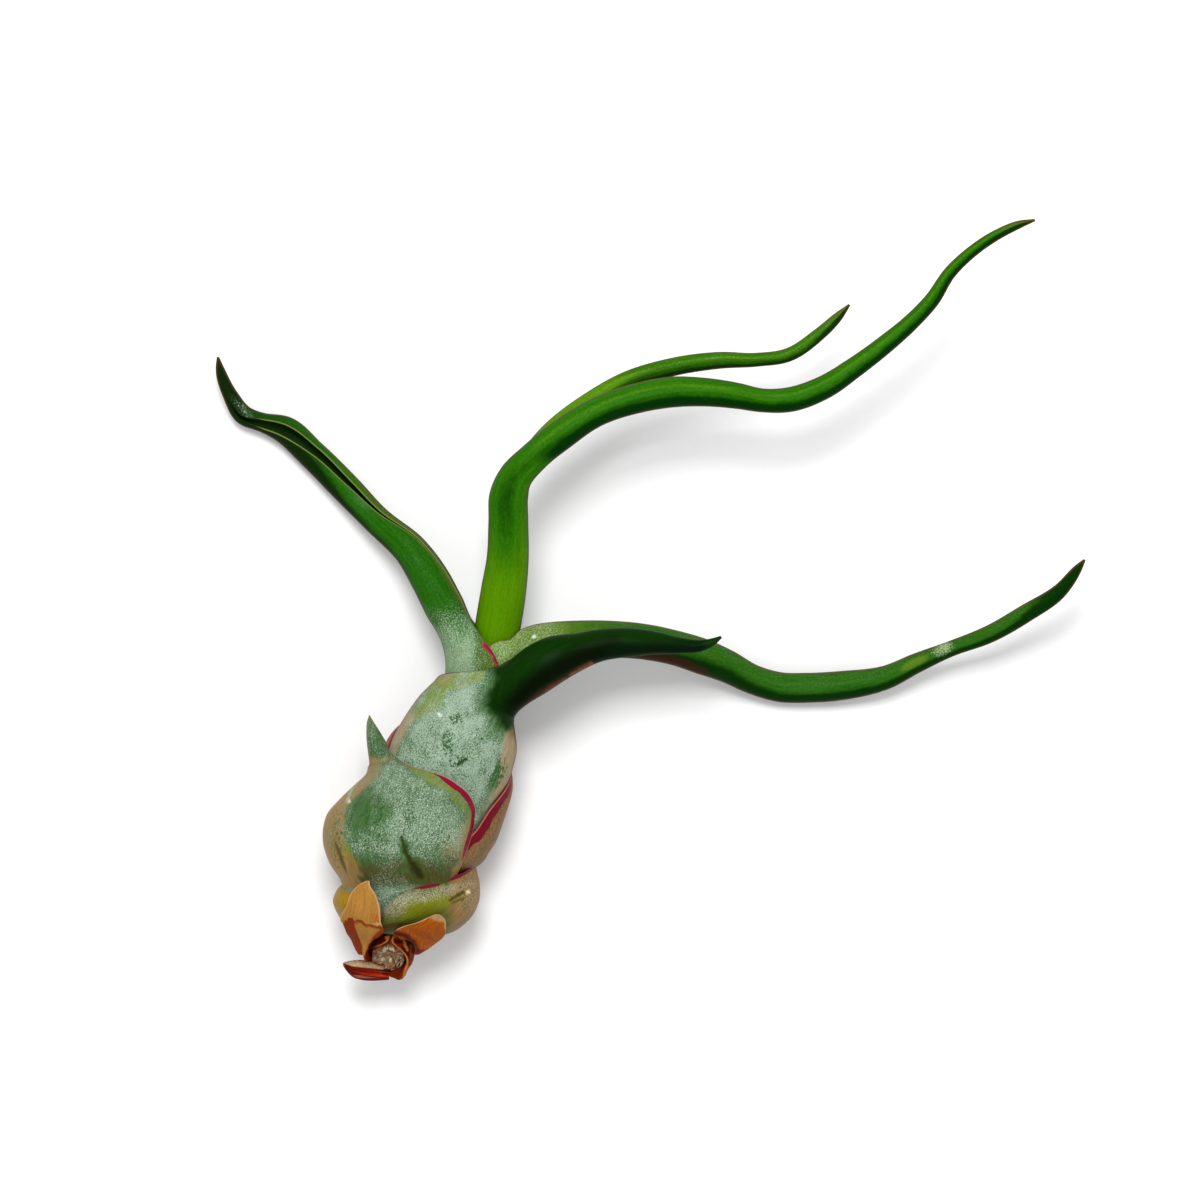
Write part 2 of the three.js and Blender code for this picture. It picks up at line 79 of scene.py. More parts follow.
# %% Lights
PLANT_MIDDLE = (0.03, 0.035, 0.01)
SKY_STRENGTH = 0.85


def area_light(name, place, aim, size, power):
    """A square softbox at place, facing aim."""
    lamp = bpy.data.lights.new(name, "AREA")
    lamp.size = size
    lamp.energy = power
    box = linked(name, lamp)
    box.location = place
    box.rotation_euler = (Vector(aim) - Vector(place)).to_track_quat("-Z", "Y").to_euler()


area_light("key", (-0.02, 0.33, 0.8), PLANT_MIDDLE, 0.26, 6.4)
area_light("fill", (0.3, -0.4, 0.9), PLANT_MIDDLE, 1.2, 1.6)

world = bpy.data.worlds.new("studio")
world.use_nodes = True
sky = world.node_tree.nodes["Background"].inputs
sky["Color"].default_value = (1, 1, 1, 1)
sky["Strength"].default_value = SKY_STRENGTH
bpy.context.scene.world = world
bpy.context.scene.view_settings.view_transform = "Standard"

# %% [markdown]
# ## Building a leaf from stations
# A leaf of this kind is one strip. Its foot wraps the stem, its sheath is a wide arc about the bulb, and
# then it narrows and rolls in until its margins nearly meet. A row of stations says that: the middle of the
# section, its radius, the way the leaf grows there, and the arc from margin to margin. Angle 0 faces up,
# 90 is the leaf's right-hand side, and 180 faces the ground. A smooth curve through the stations gives as
# many sections as the picture needs. It is the same curve as in the solids, so the leaf lands on its node.
# Where a blade just carries on, the heading is left to the row, and a row of four keeps the arc before it.

# %% Stations to smooth sections
AUTO = None
SHEATH_WALL = 0.85
BLADE_WALL = 0.8
BLADE_RADIUS = 3.6


def with_headings(rows):
    """The rows made whole. A heading left out follows the row, turned the short way from station to station."""
    found = []
    for i, row in enumerate(rows):
        before, after = rows[max(i - 1, 0)], rows[min(i + 1, len(rows) - 1)]
        heading, *arc = row[4:] or (AUTO, *found[-1][1:])
        if heading is AUTO:
            heading = math.degrees(math.atan2(after[1] - before[1], after[0] - before[0]))
            if found:
                heading += 360 * round((found[-1][0] - heading) / 360)
        found.append((heading, *arc))
    return np.array([(*row[:4], *rest) for row, rest in zip(rows, found)], float)


def section_axes(heading, slope):
    """The side and face directions of sections, one row each."""
    h = np.radians(heading)
    side = np.stack([np.sin(h), -np.cos(h), np.zeros_like(h)], -1)
    face = np.stack([-slope * np.cos(h), -slope * np.sin(h), np.ones_like(h)], -1)
    return side, face / np.linalg.norm(face, axis=-1, keepdims=True)


def distances(table):
    """How far the two margins and the middle line travel from station to station, on average."""
    side, face = section_axes(table[:, 4], np.zeros(len(table)))
    total = np.zeros(len(table) - 1)
    for angle in (table[:, 5], (table[:, 5] + table[:, 6]) / 2, table[:, 6]):
        a = np.radians(angle)[:, None]
        mark = table[:, :3] + table[:, 3:4] * (np.sin(a) * side + np.cos(a) * face)
        total += np.linalg.norm(np.diff(mark, axis=0), axis=1)
    return np.concatenate([[0], np.cumsum(total / 3)])


def smooth_rows(table, along, at):
    """The stations' numbers at any distances along the leaf, on a smooth curve through them."""
    gap = np.diff(along)[:, None]
    secant = np.diff(table, axis=0) / gap
    slope = np.empty_like(table)
    slope[0], slope[-1] = secant[0], secant[-1]
    slope[1:-1] = (secant[:-1] * gap[1:] + secant[1:] * gap[:-1]) / (gap[1:] + gap[:-1])
    i = np.clip(np.searchsorted(along, at, side="left") - 1, 0, len(along) - 2)
    t = ((at - along[i]) / gap[i, 0])[:, None]
    m, n = slope[i] * gap[i], slope[i + 1] * gap[i]
    return (
        (2 * t**3 - 3 * t**2 + 1) * table[i]
        + (t**3 - 2 * t**2 + t) * m
        + (3 * t**2 - 2 * t**3) * table[i + 1]
        + (t**3 - t**2) * n
    )


# %% Fine sections of a leaf
SLOPE_REACH = 2.5  # millimetres each way over which a blade's slope is measured
LEAST_RUN = 0.5  # millimetres of ground that a slope is measured over at least


def strip_sections(rows, step):
    """Finely spaced sections of a leaf, with their distance along it and their axes."""
    table = with_headings(rows)
    along = distances(table)
    at = np.linspace(0, along[-1], int(along[-1] / step) + 2)
    fine = smooth_rows(table, along, at)
    after = smooth_rows(table, along, np.minimum(at + SLOPE_REACH, along[-1]))
    before = smooth_rows(table, along, np.maximum(at - SLOPE_REACH, 0))
    run = np.hypot(after[:, 0] - before[:, 0], after[:, 1] - before[:, 1])
    tip = np.clip(BLADE_RADIUS - fine[:, 3], 0, 1)
    slope = tip * (after[:, 2] - before[:, 2]) / np.maximum(run, LEAST_RUN)
    return at, fine, *section_axes(fine[:, 4], slope)


# %% Relief at the margins, and a spot evened out
def near_margin(edge, reach, depth):
    """A depth at the margins that eases to 0 further in than reach."""
    t = np.clip(1 - edge / reach, 0, 1)
    return depth * t * t * (3 - 2 * t)


def hug(depth, reach):
    """A relief that leans a leaf's margins in on what they wrap."""
    return lambda points, edge: near_margin(edge, reach, -depth)


def relaxed(grid, weight, passes):
    """A grid of points evened out where weight is 1."""
    for _ in range(passes):
        even = grid.copy()
        even[1:-1] = (grid[:-2] + 2 * grid[1:-1] + grid[2:]) / 4
        even[:, 1:-1] = (even[:, :-2] + 2 * even[:, 1:-1] + even[:, 2:]) / 4
        grid = grid + weight[..., None] * (even - grid)
    return grid


# %% A strip with two faces and thin margins
MARGIN_TAPER = 1.6  # millimetres over which a leaf thins towards its margin
MARGIN_WALL = 0.22
MARGIN_ROUNDING = 0.7  # the power by which the wall grows from the margin inwards
WALL_BLEND = 0.8  # millimetres of radius over which a sheath's wall turns into a blade's
LEAST_INNER = 0.3  # share of its radius that a thin tip keeps inside its wall
SMALL_TIP = 2.0  # millimetres of radius below which relief fades out
HORIZON = 0.22  # how far below level a face may look and still take colours meant for above


def strip_points(rows, across, step, relief):
    """Outer and inner points of a strip as grids, with what a skin needs to know of each point."""
    at, fine, side, face = strip_sections(rows, step)
    t = np.linspace(0, 1, across + 1)[None, :]
    arc = np.radians(fine[:, 6:7] - fine[:, 5:6])
    angle = np.radians(fine[:, 5:6] + (fine[:, 6:7] - fine[:, 5:6]) * t)
    radius = fine[:, 3:4] * np.ones_like(t)
    width = arc * radius
    edge = np.minimum(t, 1 - t) * width
    direction = np.sin(angle)[..., None] * side[:, None] + np.cos(angle)[..., None] * face[:, None]
    middle = fine[:, None, :3]
    lift = relief(middle + direction * radius[..., None], edge) * np.clip(radius / SMALL_TIP, 0, 1) if relief else 0
    blade = np.clip((BLADE_RADIUS + 0.5 - radius) / WALL_BLEND, 0, 1)
    full = SHEATH_WALL + (BLADE_WALL - SHEATH_WALL) * blade
    wall = MARGIN_WALL + (full - MARGIN_WALL) * np.clip(edge / MARGIN_TAPER, 0, 1) ** MARGIN_ROUNDING
    outer = middle + direction * (radius + lift)[..., None]
    inner = middle + direction * np.maximum(radius + lift - wall, LEAST_INNER * radius)[..., None]
    facing = direction[..., 2]
    return outer, inner, {
        "along": at[:, None] * np.ones_like(t),
        "round": (t - 0.5) * width,
        "edge": edge,
        "facing": facing,  # 1 faces up, -1 the ground
        "turn": np.sin(angle),  # -1 at the leaf's left-hand side, 1 at its right
        "away": 0.25 * direction[..., 0] - 0.97 * direction[..., 1],  # 1 faces away from the key light
        "rim": radius * (1 - np.sqrt(1 - np.minimum(facing**2, 1))),  # from the outline inwards, seen from above
        "upper": np.clip(1 + facing / HORIZON, 0, 1),
    }


def grid_faces(count, width, shift, turned):
    """Quads over a grid of points, count rows by width."""
    i, k = np.meshgrid(np.arange(count - 1), np.arange(width - 1), indexing="ij")
    a = (shift + i * width + k).ravel()
    quads = np.stack([a + 1, a + width + 1, a + width, a], -1)
    return quads[:, ::-1] if turned else quads


def strip_faces(count, width):
    """All the quads of a closed strip: two faces, two margins and two ends."""
    inner = count * width
    first = np.arange(count - 1) * width
    last = first + width - 1
    near = np.arange(width - 1)
    far = near + (count - 1) * width
    return np.concatenate([
        grid_faces(count, width, 0, False),
        grid_faces(count, width, inner, True),
        np.stack([first, first + width, inner + first + width, inner + first], -1),
        np.stack([inner + last, inner + last + width, last + width, last], -1),
        np.stack([inner + near, inner + near + 1, near + 1, near], -1),
        np.stack([far + 1, inner + far + 1, inner + far, far], -1),
    ])


# %% A mesh piece with its map and painted values
UV_UNIT = 10.0  # millimetres of leaf in one unit of the leaf's map
BARE = dict.fromkeys(("scurf", "tan", "glow", "deep", "warm", "worn", "red"), 0.0) | {"outline": 1.0}
skins = {}


def mesh_piece(name, points, faces, values, map_mm=None):
    """A smooth-shaded object from points in millimetres, with one attribute per painted value and a UV map."""
    mesh = bpy.data.meshes.new(name)
    mesh.from_pydata((points * MM).tolist(), [], faces)
    for label, numbers in values.items():
        numbers = np.broadcast_to(numbers, len(points)).astype("f")
        mesh.attributes.new(label, "FLOAT", "POINT").data.foreach_set("value", numbers)
    if map_mm is not None:
        corner = np.empty(len(mesh.loops), "i")
        mesh.loops.foreach_get("vertex_index", corner)
        mesh.uv_layers.new(name="leaf").data.foreach_set("uv", (map_mm[corner] / UV_UNIT).astype("f").ravel())
    mesh.shade_smooth()
    return linked(name, mesh)


def leaf_piece(node, rows, paint, material, across=72, step=0.5, relief=None, ease=None):
    """The dressed leaf that stands for a node of the frame. ease is (x, y, reach, passes) of a spot to even out."""
    outer, inner, known = strip_points(rows, across, step, relief)
    if ease:
        x, y, reach, passes = ease
        weight = np.exp(-(((outer[..., 0] - x) ** 2 + (outer[..., 1] - y) ** 2) / reach**2) ** 2)
        outer, inner = relaxed(outer, weight, passes), relaxed(inner, weight, passes)
    count, width = outer.shape[:2]
    points = np.concatenate([outer.reshape(-1, 3), inner.reshape(-1, 3)])
    points[:, 2] = np.maximum(points[:, 2], 0)
    leaf = Leaf(points, known)
    values = {label: getattr(leaf, label) for label in ("edge", "rim", "upper", "hollow")}
    values |= BARE | paint(leaf)
    values["flakes"] = smooth(0.4, 1.0, values["scurf"]) * (1 - leaf.hollow) * smooth(0.4, 1.2, leaf.edge)
    map_mm = np.stack([leaf.along, leaf.round], -1)
    piece = mesh_piece(node + "_skin", points, strip_faces(count, width).tolist(), values, map_mm)
    piece.data.materials.append(material)
    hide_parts(node)
    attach(piece, "root")
    skins[node] = piece
    print(f"{node}: {count} sections, {2 * len(piece.data.polygons)} triangles")


# %% [markdown]
# ## Skins that follow the leaf
# The plant is covered in tiny silver scales that drink water. They lie thick on the swollen sheaths and thin
# out on the blades, and where they have rubbed off the green shows through. Under them the tissue runs from
# yellow-green where it is young and lit, through deep green, to tan and pink at the sides of the old sheaths,
# and the thin margins are crimson. So a skin is a stack: green, then yellow-green, tan and dark by painted
# values, then scales, then the red margin. The yellow-green and dark layers also carry painted light: a
# painted highlight on a blade's side towards the key light, painted shade on its side away from it, and
# painted shade in a crease and under a torn lip. Each layer is a small shader group with its own grain, and
# each leaf only says where it lies. All sizes are millimetres on the leaf's own map.

# %% Screen colours to colours in the scene
OVERLIT = 1.35  # the floor is lit this much past white, as in the picture, and the skins are darker by as much


def colour(red, green, blue, share=1.0):
    """A skin's linear colour from the screen values it should show under these lights, or a share of it."""
    lit = [c / 255 for c in (red, green, blue)]
    linear = [c / 12.92 if c <= 0.04045 else ((c + 0.055) / 1.055) ** 2.4 for c in lit]
    return (*[share * (c / OVERLIT) for c in linear], 1.0)


# %% A board to build node trees on
class Board:
    """A node tree with plain words for what it is built of. Any value may be a socket or a number."""

    def __init__(self, tree, given=None, wanted=None):
        self.tree, self.given, self.wanted = tree, given, wanted

    def node(self, kind, inputs=None, **settings):
        """A node with its settings and inputs."""
        made = self.tree.nodes.new(kind)
        for label, value in settings.items():
            setattr(made, label, value)
        for label, value in (inputs or {}).items():
            self.feed(made.inputs[label], value)
        return made

    def feed(self, socket, value):
        """Links a socket's value, or sets it."""
        if isinstance(value, bpy.types.NodeSocket):
            self.tree.links.new(value, socket)
        else:
            socket.default_value = value

    def give(self, label, value):
        """Hands a value to what is wanted: an output of the group, or an input of the material's shader."""
        self.feed(self.wanted[label], value)

    def math(self, operation, *values, clamp=False):
        feed = dict(enumerate(values))
        return self.node("ShaderNodeMath", feed, operation=operation, use_clamp=clamp).outputs[0]

    def times(self, first, second, plus=None, clamp=False):
        """A product, and plus added to it."""
        if plus is None:
            return self.math("MULTIPLY", first, second, clamp=clamp)
        return self.math("MULTIPLY_ADD", first, second, plus, clamp=clamp)

    def less(self, first, second):
        return self.math("SUBTRACT", first, second)

    def vector(self, operation, *values, **named):
        feed = dict(enumerate(values)) | named
        made = self.node("ShaderNodeVectorMath", feed, operation=operation)
        return made.outputs["Value" if operation in ("DOT_PRODUCT", "LENGTH") else "Vector"]

    def step(self, value, low, high, from_value=0.0, to_value=1.0):
        """A smooth step from low to high."""
        feed = {"Value": value, "From Min": low, "From Max": high, "To Min": from_value, "To Max": to_value}
        return self.node("ShaderNodeMapRange", feed, interpolation_type="SMOOTHSTEP").outputs[0]

    def mix(self, factor, first, second):
        """Two colours mixed."""
        return self.node("ShaderNodeMix", {0: factor, 6: first, 7: second}, data_type="RGBA").outputs[2]

    def painted(self, label):
        """A value painted on the mesh."""
        return self.node("ShaderNodeAttribute", attribute_name=label).outputs["Fac"]

    def place(self):
        """Where a point lies on its object, in metres."""
        return self.node("ShaderNodeTexCoord").outputs["Object"]

    def leaf_map(self):
        """Where a point lies on the leaf's own map."""
        return self.node("ShaderNodeUVMap", uv_map="leaf").outputs[0]

    def noise(self, place, scale=1.0, detail=2.0, roughness=0.5):
        feed = {"Vector": place, "Scale": scale, "Detail": detail, "Roughness": roughness}
        return self.node("ShaderNodeTexNoise", feed)

    def grain(self, along, across, detail=2.0, roughness=0.6, offset=0.0):
        """Noise on the leaf's map, with a grain of the given length and width in millimetres."""
        feed = {"Vector": self.leaf_map(), "Scale": (UV_UNIT / along, UV_UNIT / across, 1.0), "Location": (offset,) * 3}
        moved = self.node("ShaderNodeMapping", feed).outputs[0]
        return self.noise(moved, 1.0, detail, roughness).outputs[0]

    def bump(self, height, strength, distance):
        """The surface roughened by a height."""
        return self.node("ShaderNodeBump", {"Height": height, "Strength": strength, "Distance": distance}).outputs[0]

    def use(self, group, **inputs):
        """The outputs of a shader group, placed in this tree with its own values."""
        return self.node("ShaderNodeGroup", inputs, node_tree=group.tree).outputs


# %% New shader groups and materials
def shader_group(name, takes, gives):
    """A board for a new shader group with plainly named sockets; a three-number default makes a vector."""
    tree = bpy.data.node_groups.new(name, "ShaderNodeTree")
    for label, value in takes.items():
        kind = "NodeSocketVector" if isinstance(value, tuple) else "NodeSocketFloat"
        tree.interface.new_socket(label, in_out="INPUT", socket_type=kind).default_value = value
    for label in gives:
        tree.interface.new_socket(label, in_out="OUTPUT", socket_type="NodeSocketFloat")
    return Board(tree, tree.nodes.new("NodeGroupInput").outputs, tree.nodes.new("NodeGroupOutput").inputs)


def new_material(name, gloss):
    """A material, and a board for it that hands values to its Principled BSDF."""
    made = bpy.data.materials.new(name)
    made.use_nodes = True
    board = Board(made.node_tree, wanted=made.node_tree.nodes["Principled BSDF"].inputs)
    board.give("Specular IOR Level", gloss)
    return made, board


# %% Group: a soft patch with a ragged edge
ragged = shader_group("ragged patch", {"Value": 0.0, "Raggedness": 0.45}, ["Mask"])
coarse = ragged.grain(2.2, 1.3, detail=4.0, roughness=0.62)
torn = ragged.times(ragged.less(coarse, 0.5), ragged.given["Raggedness"], ragged.given["Value"])
ragged.give("Mask", ragged.step(torn, 0.22, 0.78))

# %% Group: silver scales
scales = shader_group("silver scales", {"Amount": 0.5}, ["Mask", "Height"])
amount = scales.given["Amount"]
fine = scales.grain(0.3, 0.25, detail=3.0, roughness=0.8)
patch = scales.grain(2.6, 2.0, detail=5.0, roughness=0.62, offset=7.0)
level = scales.times(scales.less(patch, 0.5), 1.0, scales.times(amount, 0.84))
level = scales.times(scales.less(fine, 0.5), 4.2, level)
cover = scales.times(scales.step(level, 0.1, 0.9), scales.times(amount, 4.0, clamp=True))
scales.give("Mask", cover)
scales.give("Height", scales.times(cover, fine))

# %% Group: specks where the scales have come off
specks = shader_group("worn specks", {"Amount": 0.5}, ["Mask"])
dots = specks.grain(0.62, 0.5, detail=3.0, roughness=0.7, offset=19.0)
dots = specks.times(specks.less(specks.given["Amount"], 1.0), 0.3, dots)
specks.give("Mask", specks.step(dots, 0.38, 0.46))

# %% Group: long veins
VEIN_LENGTH = 9.0  # millimetres
veins = shader_group("long veins", {"Spacing": 0.5}, ["Factor"])
spot = veins.node("ShaderNodeSeparateXYZ", {0: veins.leaf_map()}).outputs
run = veins.times(spot[0], UV_UNIT / VEIN_LENGTH)
side = veins.math("DIVIDE", veins.times(spot[1], UV_UNIT), veins.given["Spacing"])
spot = veins.node("ShaderNodeCombineXYZ", {0: run, 1: side}).outputs[0]
veins.give("Factor", veins.noise(spot, roughness=0.6).outputs[0])

# %% Group: a band along a margin
band = shader_group("margin band", {"Edge": 5.0, "Width": 0.7, "Blur": 0.3}, ["Mask"])
wobble = band.times(band.grain(1.6, 1.6, detail=3.0, offset=3.0), 0.6, 0.7)
wide = band.times(wobble, band.given["Width"])
inside = band.math("DIVIDE", band.less(wide, band.given["Edge"]), band.given["Blur"])
band.give("Mask", band.step(inside, -0.5, 0.5))

# %% Group: a stroke from one spot to another, seen from above
stroke = shader_group("stroke", {"From": (0.0,) * 3, "To": (1.0, 0.0, 0.0), "Width": 0.3}, ["Mask"])
start, end, width = (stroke.given[label] for label in ("From", "To", "Width"))
flat = stroke.vector("MULTIPLY", stroke.place(), (1 / MM, 1 / MM, 0.0))
shake = stroke.vector("SUBTRACT", stroke.noise(flat, 1.7, 3.0).outputs["Color"], (0.5, 0.5, 0.5))
flat = stroke.vector("ADD", flat, stroke.vector("MULTIPLY", shake, (0.7, 0.7, 0.0)))
whole = stroke.vector("SUBTRACT", end, start)
part = stroke.vector("SUBTRACT", flat, start)
length = stroke.vector("DOT_PRODUCT", whole, whole)
share = stroke.math("DIVIDE", stroke.vector("DOT_PRODUCT", part, whole), length, clamp=True)
away = stroke.vector("SUBTRACT", part, stroke.vector("SCALE", whole, Scale=share))
far = stroke.math("DIVIDE", stroke.vector("LENGTH", away), width)
stroke.give("Mask", stroke.step(far, 0.1, 1.0, 1.0, 0.0))
print("shader groups:", [g.name for g in bpy.data.node_groups])


# %% The skin of a leaf
def leaf_skin(name, green, dark, glow, tan, silver, deep, red=(140, 20, 55), warm=(96, 42, 26), worn=(46, 88, 44),
              outline=(95, 50, 30), inside=(60, 30, 25), clear=(205, 175, 150), red_width=0.55, clear_width=0.0,
              outline_width=0.3, scales_show=0.85, vein_show=1.0, vein_depth=0.5, vein_spacing=0.5,
              grain=(1.4, 0.7), rough=(0.42, 0.72), gloss=0.06, marks=()):
    """A leaf's material from screen colours; marks are (colour, width, spots) strokes seen from above."""
    made, skin = new_material(name, gloss)
    vein = skin.use(veins, Spacing=vein_spacing)["Factor"]
    mottle = skin.grain(*grain, detail=4.0, offset=11.0)
    lean = skin.times(vein, 0.5 * vein_show, skin.times(mottle, 1 - 0.5 * vein_show))
    spread = 0.16 / max(vein_show, 0.4)
    lean = skin.step(lean, 0.5 - spread, 0.5 + spread)
    base = skin.mix(lean, colour(*dark), colour(*green))

    # soft patches of colour; glow and deep also carry painted highlight and painted shade
    for label, shade, torn in (("glow", glow, 0.35), ("tan", tan, 0.45), ("deep", deep, 0.4), ("warm", warm, 0.4)):
        mask = skin.use(ragged, Value=skin.painted(label), Raggedness=torn)["Mask"]
        base = skin.mix(mask, base, skin.mix(lean, colour(*shade, share=0.72), colour(*shade)))

    # the outline seen from above
    rim, upper = skin.painted("rim"), skin.painted("upper")
    line = skin.step(rim, 0.25 * outline_width, 1.3 * outline_width, 1.0, 0.0)
    line = skin.times(line, skin.times(upper, skin.step(mottle, 0.3, 0.6, 0.5, 1.0)))
    base = skin.mix(skin.times(line, skin.painted("outline")), base, colour(*outline))

    # scales, and specks without them
    bare = skin.times(skin.painted("deep"), -0.85, 1.0)
    cover = skin.use(scales, Amount=skin.times(skin.painted("scurf"), bare))
    pale = skin.mix(mottle, colour(*silver, share=0.8), colour(*silver, share=1.2))
    base = skin.mix(skin.times(cover["Mask"], scales_show), base, pale)
    worn_off = skin.use(specks, Amount=skin.painted("worn"))["Mask"]
    base = skin.mix(skin.times(worn_off, 0.9), base, colour(*worn))

    # the red margin and its clear edge
    edge, redness = skin.painted("edge"), skin.painted("red")
    margin = skin.use(band, Edge=edge, Width=skin.times(redness, red_width), Blur=0.3)["Mask"]
    margin = skin.times(margin, skin.times(redness, 4.0, clamp=True))
    base = skin.mix(margin, base, skin.mix(vein, colour(*[0.75 * c for c in red]), colour(*red)))
    if clear_width:
        glassy = skin.use(band, Edge=edge, Width=clear_width, Blur=0.15)["Mask"]
        base = skin.mix(skin.times(glassy, skin.times(redness, 5.0, clamp=True)), base, colour(*clear))

    # marks seen from above, and the inner face
    seen = skin.times(skin.step(rim, 0.02, 0.2), upper)
    for shade, width, spots in marks:
        mask = None
        for start, end in zip(spots, spots[1:]):
            one = skin.use(stroke, From=(*start, 0.0), To=(*end, 0.0), Width=width)["Mask"]
            mask = one if mask is None else skin.math("MAXIMUM", mask, one)
        base = skin.mix(skin.times(mask, seen), base, colour(*shade))
    base = skin.mix(skin.times(skin.painted("hollow"), 0.85), base, colour(*inside))

    skin.give("Base Color", base)
    dull = skin.step(cover["Mask"], 0.0, 0.8, *rough)
    skin.give("Roughness", skin.times(skin.less(mottle, 0.5), 0.15, dull))
    height = skin.times(vein, vein_depth, cover["Height"])
    skin.give("Normal", skin.bump(height, 0.6, 0.12 * MM))
    return made


# %% [markdown]
# ## Painting where each layer lies
# A leaf's paint is a handful of soft ovals seen from above and ramps along or round the leaf. That is how a
# model painter would do it with an airbrush: a light pass for the scales, a warmer one at the sides. What a
# leaf leaves out of its paint stays bare.

# %% Brushes
def bounded(value):
    """A value held between 0 and 1."""
    return np.clip(value, 0, 1)


def smooth(low, high, value):
    """A smooth step from 0 at low to 1 at high; low may be above high."""
    t = bounded((value - low) / (high - low))
    return t * t * (3 - 2 * t)


class Leaf:
    """The points of a leaf with what is known of each, and the brushes that need it."""

    def __init__(self, points, known):
        self.points, self.x, self.y = points, points[:, 0], points[:, 1]
        self.hollow = np.repeat([0.0, 1.0], len(points) // 2)
        for label, grid in known.items():
            setattr(self, label, np.tile(grid.ravel(), 2))

    def ovals(self, *marks):
        """Soft ovals on the upper side. A mark is (x, y, half length, half width, turn, strength)."""
        total = np.zeros(len(self.x))
        for x, y, long, wide, turn, strength in marks:
            a = math.radians(turn)
            dx, dy = self.x - x, self.y - y
            u = (dx * math.cos(a) + dy * math.sin(a)) / long
            v = (dy * math.cos(a) - dx * math.sin(a)) / wide
            total = np.maximum(total, strength * smooth(1.4, 0.4, np.sqrt(u * u + v * v)))
        return total * smooth(-0.35, 0.1, self.facing)

    def cloud(self, size, seed=0.0):
        """Soft noise from -1 to 1 with spots of a size in millimetres."""
        places = self.points.tolist()
        return np.array([noise.noise(Vector((x / size + seed, y / size, z / size))) for x, y, z in places])

    def sides(self, reach):
        """1 at the leaf's outline seen from above and all below it, 0 further in than reach."""
        return smooth(reach, 0.1 * reach, np.where(self.facing > 0, self.rim, 0))


# %% [markdown]
# ## Leaf 1, the cup at the bottom
# The oldest green leaf wraps the whole bulb like a cup. Its rim is silver, a yellow-green stripe shows where
# it is thinnest, and it dries to tan on the right and to olive on the left. Its upper margin is crimson.

# %% Leaf 1
LEAF_1 = [
    (-1.3, -12.5, 10.4, 6.16, 85, -26, 334), (-0.9, -11.8, 10.4, 8.11, 86, -24, 330),
    (-0.2, -10.1, 10.3, 9.92, 88, -20, 326), (0.1, -7.9, 10.7, 10.96, 90, -15, 320),
    (0.4, -5.9, 10.6, 10.82, 92, -1, 302), (0.7, -4.3, 9.9, 10.15, 94, 37, 280), (0.7, -2.8, 9.6, 9.85, 94, 72, 262),
    (0.5, -0.1, 9.4, 9.63, 90, 104, 250), (0.7, 3.2, 9.1, 9.03, 86, 132, 230), (0.8, 5.9, 9.2, 8.72, 84, 152, 210),
    (1.0, 7.9, 9.4, 8.57, 84, 170, 192),
]


def cup_rim(points, edge):
    """The rim hugs the foot of leaf 2 at the left and stands a little proud of it at the right."""
    lean = np.interp(points[..., 0], [-1.5, 3.8, 8.6, 10.9], [-0.7, 0.45, 0.6, 0.2])
    return near_margin(edge, 3.0, lean)


def paint_1(leaf):
    x = leaf.x
    right = smooth(4.5, 9.4, x)
    left = smooth(-4.9, -8.2, x)
    return {
        "warm": left * smooth(-0.6, 0.1, leaf.facing),
        "scurf": leaf.ovals(
            (-1.7, -7.8, 3.0, 2.0, 20, 0.6), (0.3, -6.6, 3.4, 1.3, 20, 0.5), (6.1, -5.9, 6.5, 1.0, 14, 0.55),
            (11.1, -6.5, 3.5, 4.5, 0, 0.35), (3.4, -8.0, 5.0, 1.5, 16, 0.06),
        ),
        "tan": np.maximum(np.maximum(right, 0.25), smooth(0.2, -0.4, leaf.facing)),
        "glow": leaf.ovals((3.1, -8.1, 5.4, 1.7, 16, 0.85), (-1.1, -9.2, 3.4, 1.5, 10, 0.5)),
        "deep": leaf.ovals(
            (-1.1, -11.3, 3.5, 0.9, 5, 0.85), (-4.7, -6.1, 0.9, 2.2, 0, 0.5), (8.7, -11.0, 4.0, 1.0, 38, 0.45)
        ),
        "red": smooth(0.8, 4.4, x),
        "worn": 0.5 * right,
        "outline": 0.9 * smooth(-0.8, 0, leaf.facing),
    }


skin_1 = leaf_skin(
    "leaf 1 skin", green=(104, 112, 44), dark=(62, 76, 20), glow=(120, 126, 16), tan=(150, 114, 56),
    silver=(192, 184, 160), deep=(74, 60, 10), warm=(166, 128, 0), worn=(98, 88, 42), red=(130, 12, 44),
    outline=(156, 96, 44), red_width=2.7, outline_width=0.3, scales_show=0.8,
    marks=(
        ((70, 66, 10), 0.42, ((6.9, -7.2), (8.8, -6.1))),
        ((92, 84, 14), 0.4, ((7.4, -7.6), (8.9, -7.0))),
        ((236, 220, 170), 0.5, ((9.5, -6.1), (9.6, -6.1))),
    ),
)
leaf_piece("leaf_1_cup", LEAF_1, paint_1, skin_1, relief=cup_rim)
